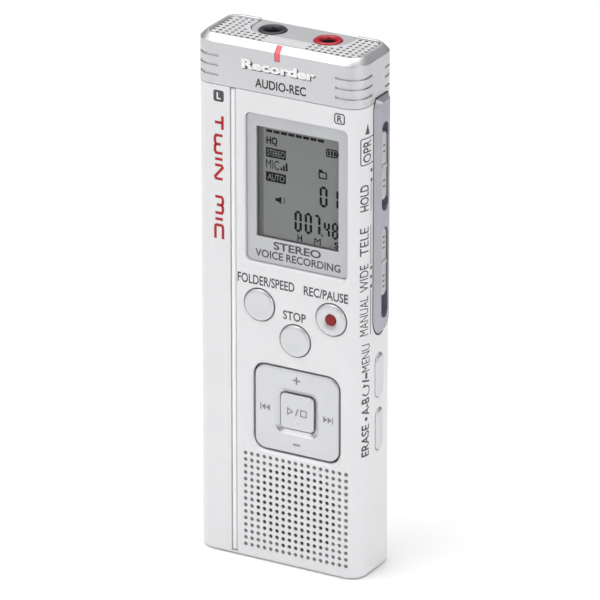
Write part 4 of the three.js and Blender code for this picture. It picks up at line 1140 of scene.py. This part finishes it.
def side_print():
    """Legends of the slides and the side keys, bent round the front right edge; they read upward."""
    ink = Marks("side_print", on_corner, bend=(0.2, 8.0, 0.35), height=PRINT)
    ink.polygon([(4.75, 99.6), (6.15, 99.5), (5.5, 101.9)])
    ink.frame(rounded(4.6, 6.0, 0.5, 5.9, 95.85, 5), 0.24)
    for z in (91.3, 89.15, 69.7, 67.7, 65.6):
        ink.disc(7.05, z, 0.42, 18)
    for low, high in ((82.4, 88.6), (70.6, 79.3), (54.9, 64.9)):
        ink.rect(6.75, 7.0, low, high)
    ink.texts(("OPR", 4.25, 6.75, 93.4, 98.3, 0.012), ("HOLD", 3.6, 5.9, 82.8, 88.6, 0.018),
              ("TELE", 3.6, 5.9, 73.0, 79.2, 0.004), ("WIDE", 3.6, 5.9, 65.0, 71.0, 0.004),
              ("MANUAL", 3.6, 5.9, 55.2, 63.9, 0.0), ("MENU", 4.1, 6.6, 47.0, 53.2, 0.0),
              ("A-B", 4.1, 6.5, 37.1, 41.1, 0.02), ("ERASE", 4.1, 6.4, 27.85, 35.0, 0.02), upward=True)
    ink.rect(5.05, 5.7, 45.4, 46.8)
    ink.polygon([(4.2, 44.95), (4.2, 45.35), (6.5, 44.85), (6.5, 44.45)])
    ink.arc(5.35, 42.75, 1.25, 0.32, -150, 120, 24)
    ink.polygon([(4.3, 43.55), (5.5, 43.65), (4.75, 44.35)])
    ink.disc(5.4, 36.3, 0.45, 20)
    dress(ink.piece(), INK)


def back_print():
    """A foil label in its bed, a word on the lid, and the name of the socket on the left side."""
    outline = rounded(LABEL_WIDTH - 0.6, LABEL_HEIGHT - 0.6, 1.0, 0, LABEL_Z)
    foil = solid("foil_label", outline, eased(LABEL_BED - 0.005, LABEL_BED + 0.06))
    dress(foil, BORDER)
    words = Marks("label_print", lambda across, z, height: (-across, LABEL_BED + height, z), height=5 * PRINT)
    words.frame(rounded(LABEL_WIDTH - 2.4, LABEL_HEIGHT - 2.4, 0.6, 0, LABEL_Z, 5), 0.16)
    left = -9.2
    words.rect(left, -left, 90.2, 90.35)
    words.texts(("VOICE RECORDER", left, -left, 91.6, 93.4, 0.01), ("DC 3 V", left, -3.2, 87.2, 88.7, 0.012),
                ("2 x LR03 / AAA", left, 2.6, 84.4, 85.9, 0.012),
                ("STEREO MIC INPUT", left, 4.6, 81.6, 83.0, 0.0))
    for k, width in enumerate((0.3, 0.2, 0.5, 0.2, 0.3, 0.6, 0.2, 0.4)):
        words.rect(4.6 + 0.6 * k, 4.6 + 0.6 * k + width * 0.7, 86.0, 88.7)
    dress(words.piece(), INK)
    printed("lid_print", ICON_GREY, lambda across, z, height: (-across, BACK + height, z), PRINT,
            ("OPEN", -2.6, 2.6, 63.4, 65.1, 0.012), body="door")
    printed("left_print", INK, lambda across, z, height: (-SIDE - height, -across, z), PRINT,
            ("USB", -0.2, 2.9, 95.0, 96.5, 0.01))


front_print()
red_letters()
cap_print()
side_print()
back_print()

# ---------------- finishes of the CAD nodes that are shown as they are
for entry in frame["record"]["subparts"]:
    node = frame["nodes"][entry["node"]]
    if not node.hide_render:
        node.data.materials.clear()
        node.data.materials.append(SLOT_FINISHES[entry["material_slot"]][0])


# ---------------- floor, lights and camera
# Places are in metres and angles in degrees.
AIM = (0, 0, 0.06)
SOFTBOXES = {                               # place, side and watts
    "key": ((-0.38, -0.42, 0.7), 1.0, 5.2),
    "side": ((0.75, -0.3, 0.4), 0.4, 2.5),
    "overhead": ((-0.05, 0.15, 0.9), 1.0, 8.5),
}
CAMERA_TARGET = Vector((0.00061, 0.00022, 0.05774))
CAMERA_AZIMUTH, CAMERA_ELEVATION, CAMERA_DISTANCE, CAMERA_LENS = 29.04, 22.39, 1.2857, 370.3


def floor():
    bpy.ops.mesh.primitive_plane_add(size=12, location=(0, 0, 0))
    plane = bpy.context.object
    plane.name = "studio_floor"
    plane.data.materials.append(finish("pale_floor", (0.96, 0.96, 0.96), 0.85, 0, 0.004, 0.004, 0.0, 2))


def softbox(name, place, side, watts):
    light = bpy.data.lights.new(name, "AREA")
    light.shape = "RECTANGLE"
    light.size = light.size_y = side
    light.energy = watts
    lamp = add_object(name, light)
    lamp.location = place
    lamp.rotation_euler = (Vector(AIM) - Vector(place)).to_track_quat("-Z", "Y").to_euler()


def studio():
    """Three soft lights, and a dim surround that is brightest overhead."""
    world = bpy.data.worlds.new("studio")
    world.use_nodes = True
    tree = world.node_tree
    place = add_node(tree, "TexCoord", {}, "Generated")
    up = add_node(tree, "SeparateXYZ", {0: place}, "Z")
    rise = {"Value": up, "From Min": 0.1, "From Max": 0.85, "To Min": 0.34, "To Max": 1.15}
    feed(tree, tree.nodes["Background"], {"Strength": add_node(tree, "MapRange", rise, "Result")})
    bpy.context.scene.world = world
    bpy.context.scene.view_settings.view_transform = "Standard"
    for name, settings in SOFTBOXES.items():
        softbox(name, *settings)


def camera():
    data = bpy.data.cameras.new("camera")
    data.sensor_width = 36
    data.lens = CAMERA_LENS
    data.clip_start = 0.05
    eye = add_object("camera", data)
    azimuth, elevation = math.radians(CAMERA_AZIMUTH), math.radians(CAMERA_ELEVATION)
    level = math.cos(elevation)
    back = Vector((math.sin(azimuth) * level, -math.cos(azimuth) * level, math.sin(elevation)))
    eye.location = CAMERA_TARGET + back * CAMERA_DISTANCE
    eye.rotation_euler = back.to_track_quat("Z", "Y").to_euler()
    bpy.context.scene.camera = eye


floor()
studio()
camera()
